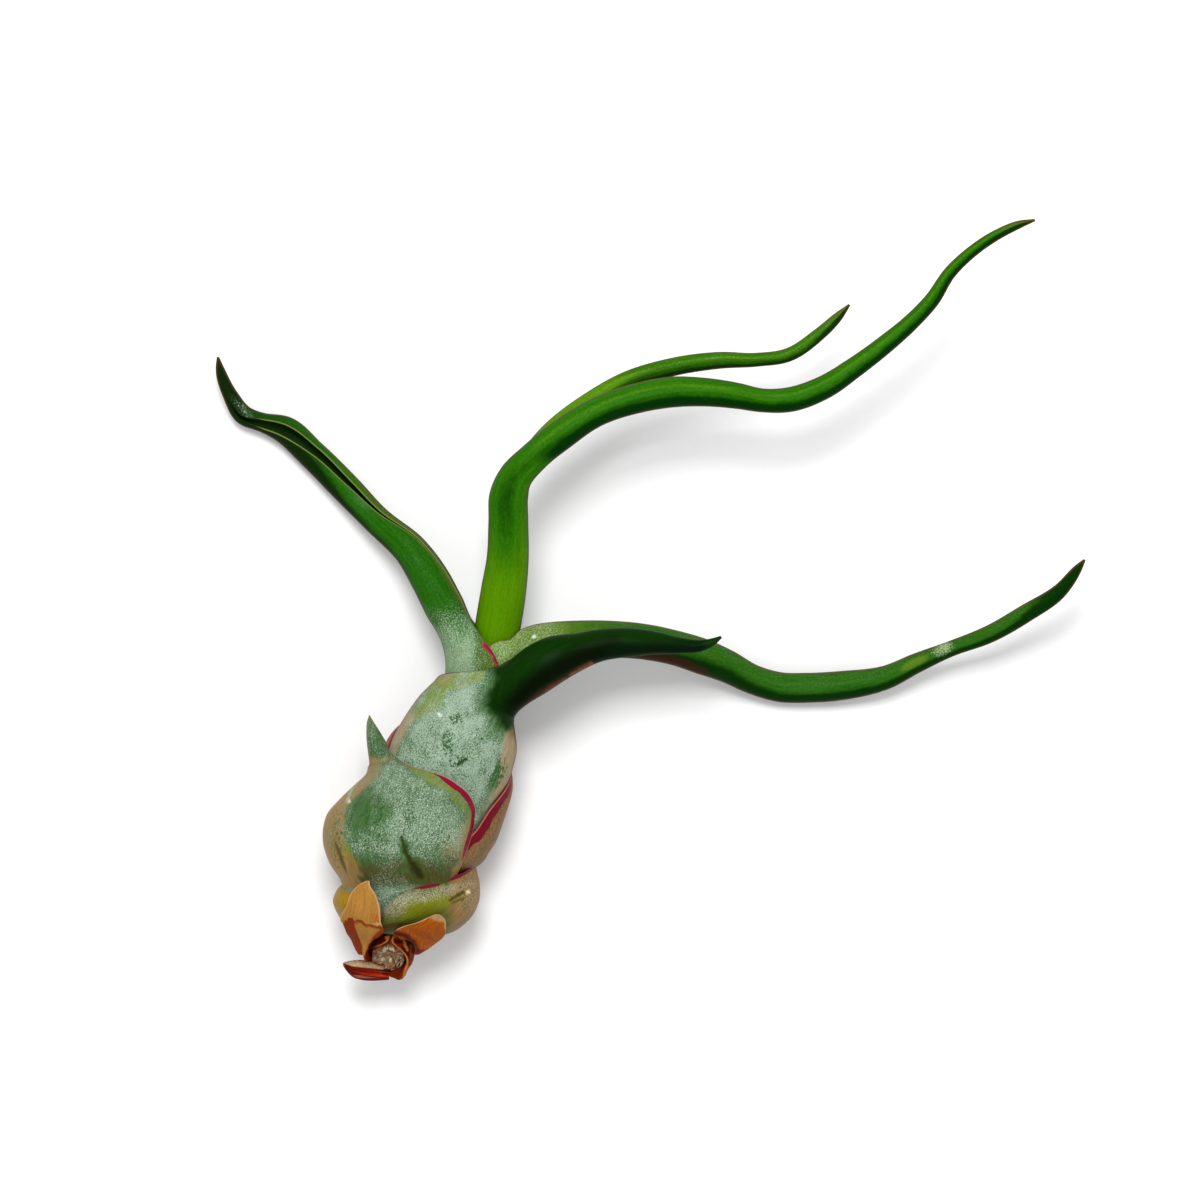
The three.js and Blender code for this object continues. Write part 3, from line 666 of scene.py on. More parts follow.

# %% [markdown]
# ## Leaf 2, the round sheath with a spine
# The leaf that faces the viewer. Its sheath swells over the bulb and its blade never grew: it ends in a short
# blue-green spine at the left shoulder. Scales rubbed off on the left show a green patch, and a dark crease
# runs down to the foot: painted shade along a fold.

# %% Leaf 2
LEAF_2 = [
    (-1.5, -11.3, 10.8, 6.31, 86, -218, 108), (-0.9, -8.4, 11.2, 8.41, 86, -205, 92),
    (-0.5, -6.2, 11.8, 8.85, 87, -192, 78), (-0.4, -4.5, 12.3, 9.45, 88, -180, 61),
    (-0.4, -1.8, 12.8, 10.94, 90, -172, 60), (-0.3, 1.5, 13, 11.99, 90, -170, 62),
    (0.2, 5.3, 13, 11.91, 90, -165, 66), (2.0, 7.8, 13, 11.84, 91, -156, 46), (4.4, 9.9, 12.8, 11.84, 90, -142, 21),
    (5.3, 11.3, 12.7, 11.24, 90, -128, 5), (4.5, 12.5, 12.8, 10.04, 90, -116, -14),
    (0.9, 13.4, 13.6, 6.36, 96, -124, -14), (-3.0, 14.0, 15.2, 2.36, 105, -170, 62),
    (-4.0, 16.3, 16, 1.61, 104, -195, 75), (-4.7, 18.2, 16.2, 1.02, 101, -200, 85),
    (-5.1, 19.5, 16.3, 0.52, 100, -200, 85), (-5.2, 20.3, 16.3, 0.07, 100, -200, 85),
]


def paint_2(leaf):
    y = leaf.y
    low = smooth(1.8, -3.3, y)
    spine = smooth(12.8, 15.3, y)
    foot = smooth(-4.5, -6.0, y)
    patchy = leaf.cloud(3.0) * 0.55 + leaf.cloud(1.1, 5.0) * 0.5
    scurf = 0.63 - 0.44 * low * (1 - foot) - 0.2 * spine + 0.12 * foot * smooth(-7.5, -4.6, leaf.x) + 0.34 * patchy
    scurf = scurf - leaf.ovals(
        (-6.2, 5.8, 2.2, 3.6, -12, 0.55), (-3.9, 5.9, 2.4, 2.4, 20, 0.4), (-7.6, -2.4, 3.5, 2.5, 0, 0.3),
        (0.2, 1.1, 0.7, 2.0, 8, 0.5), (1.8, -2.4, 1.2, 2.4, 28, 0.6),
    )
    scurf = scurf + leaf.ovals(
        (4.1, 4.2, 5.0, 4.5, 0, 0.16), (-2.2, -4.8, 3.2, 2.0, 0, 0.2), (-2.6, 11.1, 3.2, 2.0, 0, 0.2),
        (-0.4, 7.2, 0.8, 3.4, 0, 0.25), (-3.3, 0.5, 3.5, 1.0, 0, 0.15),
    )
    glow = leaf.ovals(
        (4.9, 11.4, 6.8, 1.5, -28, 0.95), (8.2, 8.3, 4.0, 1.3, -58, 0.7),
        (-8.8, 0.2, 1.3, 3.4, 20, 0.8), (3.3, -3.0, 4.5, 1.6, -10, 0.35),
    )
    scurf = scurf - 0.4 * glow
    edge_of_view = leaf.sides(4.0)
    scurf = scurf - 0.4 * edge_of_view * (1 - foot) * (1 - spine)
    warm = 0.76 * smooth(3.0, -4.5, y) * (1 - foot) + 0.7 * patchy - 0.4 * edge_of_view
    return {
        "worn": 0.75 * leaf.ovals(
            (-4.5, 2.2, 3.5, 2.5, 0, 0.75), (-4.5, 5.6, 3.0, 2.6, 20, 0.8), (0.8, 5.7, 1.6, 3.0, 10, 0.8),
            (5.5, 2.7, 3.0, 3.0, 0, 0.7), (-9.8, 2.0, 1.6, 6.0, 0, 0.75), (7.2, -1.5, 3.5, 2.0, 20, 0.7),
        ),
        "scurf": bounded(scurf) * smooth(-0.9, 0.2, leaf.facing),
        "tan": bounded(
            0.95 * edge_of_view * (1 - spine)
            + leaf.ovals((8.8, 0.4, 4.0, 4.0, 40, 0.6), (-8.8, -3.1, 4, 3, -50, 0.95), (-9.5, 2.5, 1.5, 4.5, 0, 0.5))
        ),
        "warm": bounded(warm) * smooth(-8.2, -5.9, leaf.x),
        "glow": glow,
        # the first two deep ovals are the crease, painted shade
        "deep": leaf.ovals(
            (0.2, 0.9, 0.7, 1.6, 8, 0.5), (1.8, -2.4, 1.3, 2.2, 28, 0.6),
            (-0.4, 7.9, 0.6, 1.7, 10, 0.3), (-7.6, -2.3, 0.8, 3.5, 12, 0.35),
            (-9.4, -0.6, 3.4, 0.45, -70, 0.6), (-5.3, 2.7, 5.5, 0.3, -88, 0.4),
        ),
        "red": np.maximum(0.2, smooth(3.0, 7.1, leaf.x) * smooth(-2.4, 1.2, y)) * (1 - spine),
        "outline": np.maximum(1 - spine, 0.5),
    }


skin_2 = leaf_skin(
    "leaf 2 skin", green=(72, 108, 56), dark=(42, 80, 34), glow=(116, 134, 44), tan=(156, 124, 62),
    silver=(138, 160, 134), deep=(40, 42, 4), warm=(78, 76, 28), worn=(44, 86, 34), red=(150, 12, 52),
    outline=(160, 108, 68), red_width=1.7, clear_width=0.14, clear=(196, 150, 130), outline_width=0.34,
    marks=(
        # the first three marks are the crease, painted shade along the fold
        ((44, 56, 14), 0.34, ((-0.1, 2.3), (0.4, 0.5))),
        ((40, 48, 8), 0.5, ((0.4, 0.3), (1.4, -1.6))),
        ((38, 40, 5), 0.85, ((1.6, -1.7), (2.6, -3.5))),
        ((232, 228, 206), 0.5, ((-8.3, 7.7), (-8.2, 7.6))),
        ((160, 162, 132), 0.4, ((-8.5, 7.3), (-7.8, 9.3), (-6.8, 10.8))),
    ),
)
leaf_piece(
    "leaf_2_spine", LEAF_2, paint_2, skin_2, across=110, step=0.35, relief=hug(0.45, 3.0),
    ease=(0.1, 13.3, 2.2, 40),
)

# %% [markdown]
# ## Leaf 3, behind the bulb
# Only its right flank and a sliver at the left show: a tan-pink sheath with a broad crimson margin.

# %% Leaf 3
LEAF_3 = [
    (-1.2, -8.9, 10.8, 3.9, 86, 10, 350), (-0.8, -6.5, 10.8, 5.56, 86, 14, 346),
    (-0.3, -4.7, 10.8, 6.91, 86, 18, 342), (0.4, -3.2, 10.5, 8.41, 86, 22, 338),
    (1.3, -1.0, 10.6, 10.21, 84, 28, 332), (2.4, 1.9, 10.8, 10.51, 78, 37, 323), (3.9, 5.1, 11, 10.51, 70, 46, 314),
    (5.7, 9.9, 11.2, 10.43, 66, 58, 302), (7.6, 14.8, 11.5, 9.91, 65, 90, 270), (9.0, 19.2, 11.4, 8.26, 66, 140, 220),
    (9.9, 22.2, 11.2, 7.21, 68, 155, 205), (10.3, 24.0, 11, 6.61, 70, 168, 192),
]


def paint_3(leaf):
    return {"scurf": 0.3, "tan": 0.85, "worn": 0.5, "red": 1.0}


skin_3 = leaf_skin(
    "leaf 3 skin", green=(104, 96, 54), dark=(70, 70, 28), glow=(120, 130, 50), tan=(128, 92, 54),
    silver=(164, 140, 100), deep=(60, 40, 20), worn=(100, 84, 44), red=(126, 6, 30), outline=(146, 78, 44),
    red_width=1.9, clear_width=0.12, clear=(190, 110, 100), inside=(100, 8, 26), outline_width=0.28,
)
leaf_piece("leaf_3_back", LEAF_3, paint_3, skin_3, relief=hug(0.75, 4.0))

# %% [markdown]
# ## Leaf 4, the silver sheath with a short dark blade
# Its sheath is the palest, with specks of worn green in the middle, and turns nearly black-green where the
# blade bends off. The blade's upper face has a bluish sheen of scales, its lower margin is red-brown.

# %% Leaf 4
LEAF_4 = [
    (-0.8, -6.8, 10.9, 3.45, 84, -110, 190), (-0.2, -4.5, 11, 5.26, 84, -115, 195),
    (0.6, -1.8, 11.2, 7.21, 82, -122, 202), (1.5, 1.5, 11.3, 8.71, 78, -130, 208),
    (2.8, 5.2, 11.5, 9.38, 70, -135, 210), (5.2, 10.2, 11.8, 9.23, 66, -135, 208),
    (7.5, 14.9, 12.2, 9.15, 64.5, -132, 205), (9.4, 19.0, 12.7, 8.39, 62, -118, 200),
    (10.7, 22.7, 13.2, 6.74, 61.4, -90, 192), (11.4, 23.7, 13.8, 6.74, 52, -47, 182),
    (12.4, 24.6, 14.4, 6.43, 41, -31, 172), (14.6, 23.8, 17, 4.4, 28, -47, 160),
    (16.3, 24.8, 18.6, 3.65, 27, -92, 145), (18.7, 26.4, 19.2, 3.72, 27, -115, 135),
    (23.5, 29.1, 19.6, 3.36, 24, -135, 112), (26.0, 29.8, 19.5, 2.8, 15, -138, 96),
    (29.0, 30.7, 19.4, 2.43, 9, -140, 128), (34.5, 31.2, 19.2, 2.11, AUTO, -145, 145),
    (37.6, 31.1, 19, 1.71, AUTO, -150, 150), (41.3, 30.7, 18.9, 1.22), (44.4, 30.7, 19, 0.86),
    (45.9, 31.2, 19.2, 0.6), (47.3, 32.0, 19.5, 0.19),
]


def paint_4(leaf):
    x, y = leaf.x, leaf.y
    right, up = x - 12.8, y - 22.5
    past = np.minimum(0.94 * right - 0.33 * up, 0.78 * right + 0.63 * up) + 0.9 * leaf.cloud(2.2)
    bare = smooth(-3.4, -0.4, past)
    blade = smooth(-3.2, 1.6, past)
    glow = leaf.ovals((8.1, 25.5, 5.4, 1.3, 14, 1.0), (4.1, 22.4, 4.2, 1.5, 46, 0.95), (13.2, 18.6, 2.0, 2.0, 0, 0.4))
    glow = glow * (1 - bare)
    shoulder = 0.8 * smooth(7.5, 3.8, x) * smooth(19.2, 22.5, y) * smooth(0.1, 0.3, leaf.facing)
    edge_of_view = leaf.sides(3.0) * (1 - shoulder)
    silvered = 0.74 + 0.2 * smooth(16.5, 21.8, y)
    scurf = silvered * (1 - bare) * (1 - 0.75 * edge_of_view) * smooth(-0.9, 0.1, leaf.facing)
    scurf = scurf - leaf.ovals((14.8, 13.0, 0.9, 3.2, -18, 0.55), (13.5, 10.0, 1.2, 1.6, 0, 0.5))
    return {
        "scurf": bounded(scurf - 0.55 * glow + (0.3 * leaf.cloud(2.4) + 0.22 * leaf.cloud(1.0, 4.0)) * (1 - bare)),
        "worn": leaf.ovals(
            (7.9, 19.9, 1.3, 1.1, 0, 0.95), (6.5, 16.5, 1.4, 2.4, 0, 0.85), (8.2, 13.5, 2.2, 0.9, 15, 0.85),
            (11.0, 17.5, 1.0, 2.0, 10, 0.6), (14.1, 11.5, 1.2, 2.8, -18, 0.85),
        ),
        "tan": bounded(0.85 * edge_of_view * (1 - bare) + leaf.ovals((15.7, 15.1, 1.2, 4.6, -8, 0.8))),
        "glow": glow,
        "deep": blade,
        "warm": blade * leaf.ovals((26.7, 27.1, 3.0, 1.4, 24, 0.7), (21.1, 23.8, 6.2, 1.1, 32, 0.7)),
        "red": np.maximum(smooth(11.2, 5.2, x) * 0.8, 0.5 * blade),
        "outline": 0.8 * (1 - blade),
    }


skin_4 = leaf_skin(
    "leaf 4 skin", green=(92, 124, 80), dark=(54, 90, 48), glow=(124, 146, 62), tan=(172, 152, 116),
    silver=(166, 187, 167), deep=(12, 48, 2), red=(92, 34, 30), outline=(150, 92, 72), red_width=0.35,
    outline_width=0.3, gloss=0.02, warm=(92, 44, 30),
    marks=(
        ((4, 14, 1), 3.0, ((16.8, 22.1), (18.6, 24.1), (21.5, 26.5), (26.3, 29.0), (31.0, 30.1))),
        ((3, 22, 4), 1.8, ((31.0, 30.1), (36.7, 30.1), (44.1, 30.4))),
        ((100, 56, 30), 0.8, ((21.5, 23.8), (24.2, 25.4))),
        ((128, 80, 46), 0.8, ((25.2, 26.2), (27.9, 27.7))),
        ((36, 66, 34), 0.32, ((7.2, 12.8), (8.2, 13.1), (9.4, 13.9))),
        ((232, 238, 220), 0.45, ((5.3, 20.5), (5.4, 20.4))),
    ),
)
leaf_piece("leaf_4_short", LEAF_4, paint_4, skin_4, across=90, step=0.4, ease=(12.9, 23.4, 6.5, 120))

# %% [markdown]
# ## Leaf 5, the left arm
# A silver-green neck, a mid-green blade, and towards the tip the tube opens: between two pale margins runs a
# dark channel. Further out a grey scar and a dark olive tip. The blade's side towards the key light carries a
# painted highlight and its side away from it painted shade, and a soft bluish sheen on the blade is painted too.

# %% Leaf 5
LEAF_5 = [
    (-0.2, -4.4, 11, 2.85, 82, -250, 62), (0.6, -1.5, 11.2, 4.8, 80, -245, 58), (1.8, 2.1, 11.4, 6.3, 76, -242, 52),
    (3.6, 5.8, 11.7, 7.05, 69, -240, 48), (5.7, 10.5, 12, 7.12, 66, -240, 45), (8.0, 15.5, 12.3, 6.75, 65, -238, 42),
    (9.8, 20.1, 12.5, 5.85, 66, -235, 38), (11.0, 23.4, 12.6, 5.55, 72, -230, 32),
    (11.7, 27.5, 12.6, 6.15, 88, -226, 24), (11.2, 29.4, 13.1, 5.39, 99, -228, 23),
    (10.2, 30.6, 13.6, 4.64, 101, -234, 27), (9.0, 31.6, 13.9, 3.89, 100, -246, 43),
    (7.8, 32.9, 13.2, 3.06, 108, -285, 60), (5.8, 36.7, 11.4, 3.03, AUTO, -296, 58),
    (3.5, 41.0, 9.5, 2.93, AUTO, -302, 52), (0.8, 44.9, 7.6, 2.61, AUTO, -308, 46),
    (-4.6, 49.7, 5, 2.18, AUTO, -322, 26), (-9.0, 54.2, 3, 2.3, AUTO, -325, 13),
    (-14.2, 59.4, 2.2, 2.23, AUTO, -324, 2), (-19.1, 63.6, 2.3, 2.04, AUTO, -342, -31),
    (-21.9, 64.4, 2.3, 1.48, AUTO, -345, -35), (-24.7, 65.5, 2.3, 1.51, AUTO, -368, -36),
    (-26.7, 68.5, 3.2, 1.15, AUTO, -386, -28), (-28.2, 72.6, 5.2, 0.63, AUTO, -386, -27), (-28.4, 74.1, 6, 0.2),
]


def paint_5(leaf):
    x, y = leaf.x, leaf.y
    neck = smooth(39.8, 29.2, y - 0.4 * (x - 7.5) + 0.9 * leaf.cloud(2.0))
    far = smooth(-0.8, -24.0, x)
    # sheen: a painted highlight, a soft bluish sheen laid in the tan and scurf layers
    sheen = leaf.ovals((2.1, 43.0, 6.5, 1.2, -56, 0.13), (-7.2, 52.4, 3.4, 0.8, -42, 0.16))
    scar = leaf.ovals((-24.8, 66.2, 2.6, 0.75, -50, 0.85))
    silvered = 0.55 * neck * smooth(11.6, 9.8, x) + 0.25 * neck + 0.25 * sheen + scar
    return {
        "scurf": bounded(silvered) * smooth(-0.8, 0, leaf.facing),
        "tan": bounded(0.7 * neck * smooth(11.9, 9.8, x) + 2.0 * sheen),
        # glow on the side towards the key light is a painted highlight
        "glow": bounded(
            0.85 * neck * smooth(9.8, 11.6, x) + 0.7 * (1 - neck) * (1 - far) * smooth(0.35, 0.9, leaf.turn)
        ),
        # deep: the dark far end, and painted shade on the side away from the key light
        "deep": bounded(0.55 * far + (0.88 + 0.4 * far) * (1 - 0.8 * neck) * smooth(-0.25, 0.65, leaf.away)),
        "red": 0.2 * smooth(-23.2, -20.9, x),
    }


living = dict(vein_show=0.8, vein_depth=0.3, grain=(0.5, 0.32), gloss=0.02)
# leaf 5's tan is the pale blue-green of its neck sides and of the painted sheen
skin_5 = leaf_skin(
    "leaf 5 skin", green=(42, 102, 8), dark=(16, 78, 6), glow=(74, 102, 18), tan=(92, 140, 88),
    silver=(156, 176, 144), deep=(14, 40, 4), red=(170, 30, 70), outline=(82, 54, 22), red_width=0.5,
    clear_width=0.13, clear=(112, 130, 66), inside=(26, 56, 10), outline_width=0.22, **living,
    marks=(
        ((150, 18, 60), 0.75, ((12.1, 30.8), (13.3, 29.6), (14.0, 28.4))),
        ((140, 14, 52), 1.0, ((14.0, 28.4), (14.5, 27.5))),
    ),
)
leaf_piece("leaf_5_left", LEAF_5, paint_5, skin_5, ease=(6.5, 29.3, 4.5, 100))

# %% [markdown]
# ## Leaf 6, the long arm to the right
# It leaves the bulb under leaf 4, pale and scurfy at its base, bends down to the floor and rises to a dark tip.
# Along its first half the side towards the key light carries a painted highlight, and the side away from it
# is painted shade.

# %% Leaf 6
LEAF_6 = [
    (0.3, -3.0, 11.2, 2.25, 80, -60, 250), (1.2, -0.0, 11.4, 3.9, 77, -60, 250), (2.7, 3.7, 11.6, 5.1, 71, -58, 248),
    (4.8, 8.5, 11.9, 5.7, 67, -56, 246), (7.2, 13.8, 12.1, 5.55, 65, -54, 245), (9.5, 19.2, 12.3, 4.65, 65, -52, 244),
    (11.0, 23.4, 12.4, 4.35, 68, -50, 243), (12.3, 26.4, 12.5, 4.8, 64, -46, 242),
    (14.1, 28.1, 12.7, 4.95, 49, -35, 240), (15.4, 29.1, 13.1, 4.42, 36, -38, 239),
    (17.0, 29.6, 13.0, 3.82, 26, -39, 237), (18.4, 30.1, 12.8, 3.52, 18, -64, 236),
    (21.5, 31.0, 12.2, 3.15, 9, -92, 236), (26.2, 31.5, 11.6, 2.93, AUTO, -104, 240), (31.1, 31.6, 11, 2.78),
    (35.3, 31.3, 10.2, 2.7), (40.5, 30.3, 8.6, 2.63), (44.6, 29.0, 6.8, 2.71), (48.4, 27.5, 4.8, 2.49),
    (52.6, 25.4, 3, 2.24), (56.5, 24.3, 2.2, 2.27), (60.6, 24.2, 2.3, 2.27), (66.3, 24.6, 2.9, 2.2),
    (72.5, 25.8, 4.2, 1.81), (77.1, 28.0, 5.6, 1.51), (82.0, 30.1, 7.2, 1.21), (87.9, 32.4, 9, 1.35),
    (93.2, 35.5, 11, 1.38), (98.2, 38.9, 13, 1.12), (100.9, 42.4, 14.6, 0.6), (101.7, 43.5, 15.1, 0.19),
]


def paint_6(leaf):
    x = leaf.x
    base = smooth(25.5, 20.2, x)
    under = smooth(0.1, 0.8, leaf.turn)
    tip = smooth(89.2, 98.2, x)
    scar = leaf.ovals((80.8, 30.0, 1.6, 1.0, 25, 0.8))
    silvered = 0.5 * base + scar + 0.05 * smooth(0.2, -0.5, leaf.turn)
    pale = leaf.ovals((76.6, 27.9, 3.0, 1.0, 28, 0.6))
    shade = 0.3 * smooth(-0.35, 0.1, leaf.away) * smooth(35.2, 44.2, x)
    return {
        "scurf": bounded(silvered) * smooth(-0.8, 0, leaf.facing),
        "tan": 0.4 * base * leaf.sides(1.5),
        # glow: yellow-green at the base, and a painted highlight on the side towards the key light
        "glow": bounded(0.75 * base + 0.5 * smooth(44.2, 23.2, x) * (1 - under) + pale),
        # deep: the dark tip, and painted shade on the side away from the key light
        "deep": bounded(0.85 * tip + shade + 0.75 * smooth(0.1, 0.8, leaf.away)),
        "warm": under * smooth(48.8, 42.8, x) * smooth(29.2, 36.8, x) * 0.8,
        "red": 0.3,
    }


skin_6 = leaf_skin(
    "leaf 6 skin", green=(50, 104, 20), dark=(28, 82, 8), glow=(96, 132, 30), tan=(150, 132, 96),
    silver=(168, 188, 136), deep=(4, 48, 0), warm=(60, 34, 14), outline=(86, 60, 24), red_width=0.3,
    inside=(14, 30, 6), outline_width=0.22, **living,
    marks=(((232, 240, 220), 0.45, ((19.4, 32.0), (19.5, 32.0))),),
)
leaf_piece("leaf_6_right", LEAF_6, paint_6, skin_6)

# %% [markdown]
# ## Leaf 7, the tallest
# Brightest of all where it leaves the bulb, then deep green with a lighter streak along its upper side: a
# painted highlight, with painted shade on the side away from the key light.

# %% Leaf 7
LEAF_7 = [
    (0.9, -0.6, 11.5, 1.8, 76, -150, 150), (2.9, 4.5, 12.0, 3.15, 70, -150, 150),
    (5.9, 11.1, 12.3, 3.75, 66, -150, 150), (8.6, 17.7, 12.5, 3.45, 66, -148, 148),
    (10.7, 23.0, 12.5, 3.15, 68, -145, 145), (12.3, 27.3, 12.4, 3.22, 76, -140, 140),
    (13.4, 30.5, 12.4, 3.37, 80, -138, 138), (14.0, 33.9, 13.0, 3.45, 86, -138, 138), (14.8, 38.7, 14.6, 3.4),
    (15.5, 44.1, 16.8, 3.13, AUTO, -142, 142), (15.6, 49.4, 18.6, 2.98, AUTO, -155, 155),
    (15.7, 53.1, 19.8, 2.9, AUTO, -162, 162), (16.7, 55.8, 20.6, 2.56, AUTO, -166, 166),
    (19.4, 58.7, 21.4, 2.3, AUTO, -168, 168), (23.6, 62.1, 22, 2.3), (28.4, 65.2, 22.2, 2.15),
    (34.9, 67.5, 22.1, 2.26), (40.2, 68.4, 21.9, 2.3), (44.4, 68.4, 21.6, 2.15), (49.9, 67.8, 21, 1.93),
    (53.2, 67.2, 20.6, 1.78), (57.4, 67.3, 20.2, 1.86), (62.3, 69.0, 19.8, 1.79), (67.4, 72.3, 19.5, 1.56),
    (72.0, 75.8, 19.6, 1.41), (75.5, 78.8, 19.9, 1.26), (78.6, 82.1, 20.4, 1.16), (81.3, 86.2, 21.2, 0.97),
    (84.2, 89.0, 22, 0.89), (88.0, 91.6, 22.9, 0.8), (91.5, 93.2, 23.6, 0.59), (93.7, 93.8, 24, 0.18),
]


def paint_7(leaf):
    x, y = leaf.x, leaf.y
    base = smooth(52.5, 31.5, y)
    rise = smooth(34.5, 52.5, y) * smooth(63.0, 54.0, y)
    middle = smooth(0.95, 0.1, np.abs(leaf.turn + 0.1))
    beyond = smooth(55.5, 61.5, y)
    tip = smooth(83.2, 93.0, x)
    # a painted highlight along the blade's upper side
    highlight_streak = beyond * smooth(0.35, 0.0, np.abs(leaf.turn + 0.38))
    shade = 0.45 * smooth(-0.2, 0.15, leaf.away) + 0.6 * smooth(0.15, 0.7, leaf.away)
    return {
        "scurf": 0.06 * highlight_streak,
        "tan": 0.6 * tip,
        "glow": bounded(base + 0.35 * rise * (1 - middle) + 0.45 * highlight_streak),
        # deep: a darker middle where it rises, painted shade on the side away from the key light, and the dry tip
        "deep": bounded(0.56 * rise * middle + beyond * shade + 0.4 * tip),
        "red": 0.2,
    }


skin_7 = leaf_skin(
    "leaf 7 skin", green=(52, 114, 2), dark=(24, 92, 0), glow=(88, 142, 0), tan=(110, 92, 36), silver=(140, 176, 120),
    deep=(2, 50, 0), outline=(80, 56, 18), red_width=0.2, inside=(20, 40, 6), outline_width=0.22, **living,
)
leaf_piece("leaf_7_centre", LEAF_7, paint_7, skin_7)

# %% [markdown]
# ## Leaf 8, the inner one
# Thin and smooth, it comes out behind leaf 7 and parts from it at its middle. Like leaf 7 it carries a painted
# highlight along its upper side and painted shade on its side away from the key light.

# %% Leaf 8
LEAF_8 = [
    (1.9, 2.1, 11.6, 1.05, 70, -160, 160), (5.9, 11.1, 12.2, 1.65, 66, -162, 162),
    (9.8, 20.7, 12.4, 1.65, 67, -164, 164), (12.3, 27.3, 11.9, 1.43, 74, -164, 164),
    (13.9, 34.2, 11.0, 1.35, 86, -164, 164), (14.8, 39.0, 11.2, 1.35), (15.5, 44.1, 12.2, 1.35),
    (15.6, 49.5, 13.8, 1.35), (15.9, 53.7, 15, 1.35), (17.9, 57.8, 16.2, 1.34), (21.0, 61.8, 16.8, 1.39),
    (27.8, 67.2, 17.0, 1.39), (33.4, 70.3, 17, 1.39), (39.3, 72.1, 16.8, 1.39), (47.2, 73.3, 16.3, 1.27),
    (52.7, 73.4, 15.9, 1.05), (57.3, 74.1, 15.6, 1.05), (62.1, 77.3, 15.4, 0.97), (64.8, 79.8, 15.7, 0.72),
    (66.5, 81.6, 16.2, 0.19),
]


def paint_8(leaf):
    x = leaf.x
    # a painted highlight along the blade's upper side
    highlight_streak = smooth(0.35, 0.0, np.abs(leaf.turn + 0.3))
    tip = smooth(59.2, 66.0, x)
    return {
        "scurf": 0.15 * highlight_streak,
        "tan": 0.5 * tip,
        "glow": bounded(0.75 * smooth(38.2, 27.8, x) + 0.5 * highlight_streak),
        # deep: painted shade on the side away from the key light, and the dry tip
        "deep": bounded(0.5 * smooth(-0.1, 0.3, leaf.away) + 0.45 * smooth(0.4, 0.85, leaf.away) + 0.4 * tip),
        "red": 0.2,
    }


skin_8 = leaf_skin(
    "leaf 8 skin", green=(62, 118, 2), dark=(34, 92, 0), glow=(88, 144, 0), tan=(120, 96, 40), silver=(140, 176, 120),
    deep=(14, 50, 2), outline=(84, 62, 20), red_width=0.2, inside=(20, 40, 6), outline_width=0.18, **living,
)
leaf_piece("leaf_8_inner", LEAF_8, paint_8, skin_8, across=48)

# %% [markdown]
# ## The dry pieces at the foot
# Two papery bracts, a collar of old leaf bases and a split husk. They are dead tissue: matte, orange-tan to
# dark red, with fine long fibres, pale broken lips and darker patches. Under the left bract's torn lip and
# along its left side the darker patches are painted shade.

# %% Left bract
BRACT_LEFT = [
    (-2.5, -15.8, 11.5, 4.5, 88, -88, -50), (-1.7, -13.7, 10.9, 6.76, 88, -68, -29),
    (-0.9, -12.1, 10.5, 9.61, 88, -55, -13), (-0.3, -10.3, 10.5, 11.42, 88, -51, -15),
    (0.1, -8.0, 10.8, 12.16, 88, -43, -17), (0.3, -6.2, 10.7, 12.32, 88, -39, -21),
    (0.4, -5.2, 10.7, 12.24, 88, -35, -25), (0.6, -4.4, 10.7, 12.17, 88, -29, -27),
]
LIP = [  # the torn lip, from its left end to its right
    (-9.0, -10.6), (-8.1, -9.9), (-7.5, -9.7), (-7.3, -10.3), (-6.8, -10.0), (-6.0, -10.3),
    (-5.3, -10.6), (-4.5, -10.9), (-3.9, -10.8), (-2.7, -11.2),
]
TONGUE_LEFT = [(-7.4, -10.7), (-6.9, -12.5), (-6.3, -14.3)]
TONGUE_RIGHT = [(-3.2, -11.2), (-4.4, -12.3), (-5.6, -14.1)]
UPPER_LAYER, LOWER_LAYER, RIPPLE = 0.3, 0.22, 0.07  # millimetres that they stand out


def above_lip(x, y):
    """Millimetres above the torn lip."""
    return y - np.interp(x, *zip(*LIP))


def past_line(x, y, line):
    """Millimetres to the right of a line given from top to bottom."""
    xs, ys = zip(*line)
    return x - np.interp(y, ys[::-1], xs[::-1])


def torn_lip(points, edge):
    """The upper layer of the bract ends in a torn lip; a tongue of the lower layer stands out below it."""
    x, y = points[..., 0], points[..., 1]
    upper = bounded((above_lip(x, y) + 0.1) / 0.2)
    tongue = bounded(past_line(x, y, TONGUE_LEFT) / 0.3) * bounded(-past_line(x, y, TONGUE_RIGHT) / 0.5)
    return UPPER_LAYER * upper + LOWER_LAYER * (1 - upper) * tongue + RIPPLE * np.sin(2.3 * x + 0.9 * y)


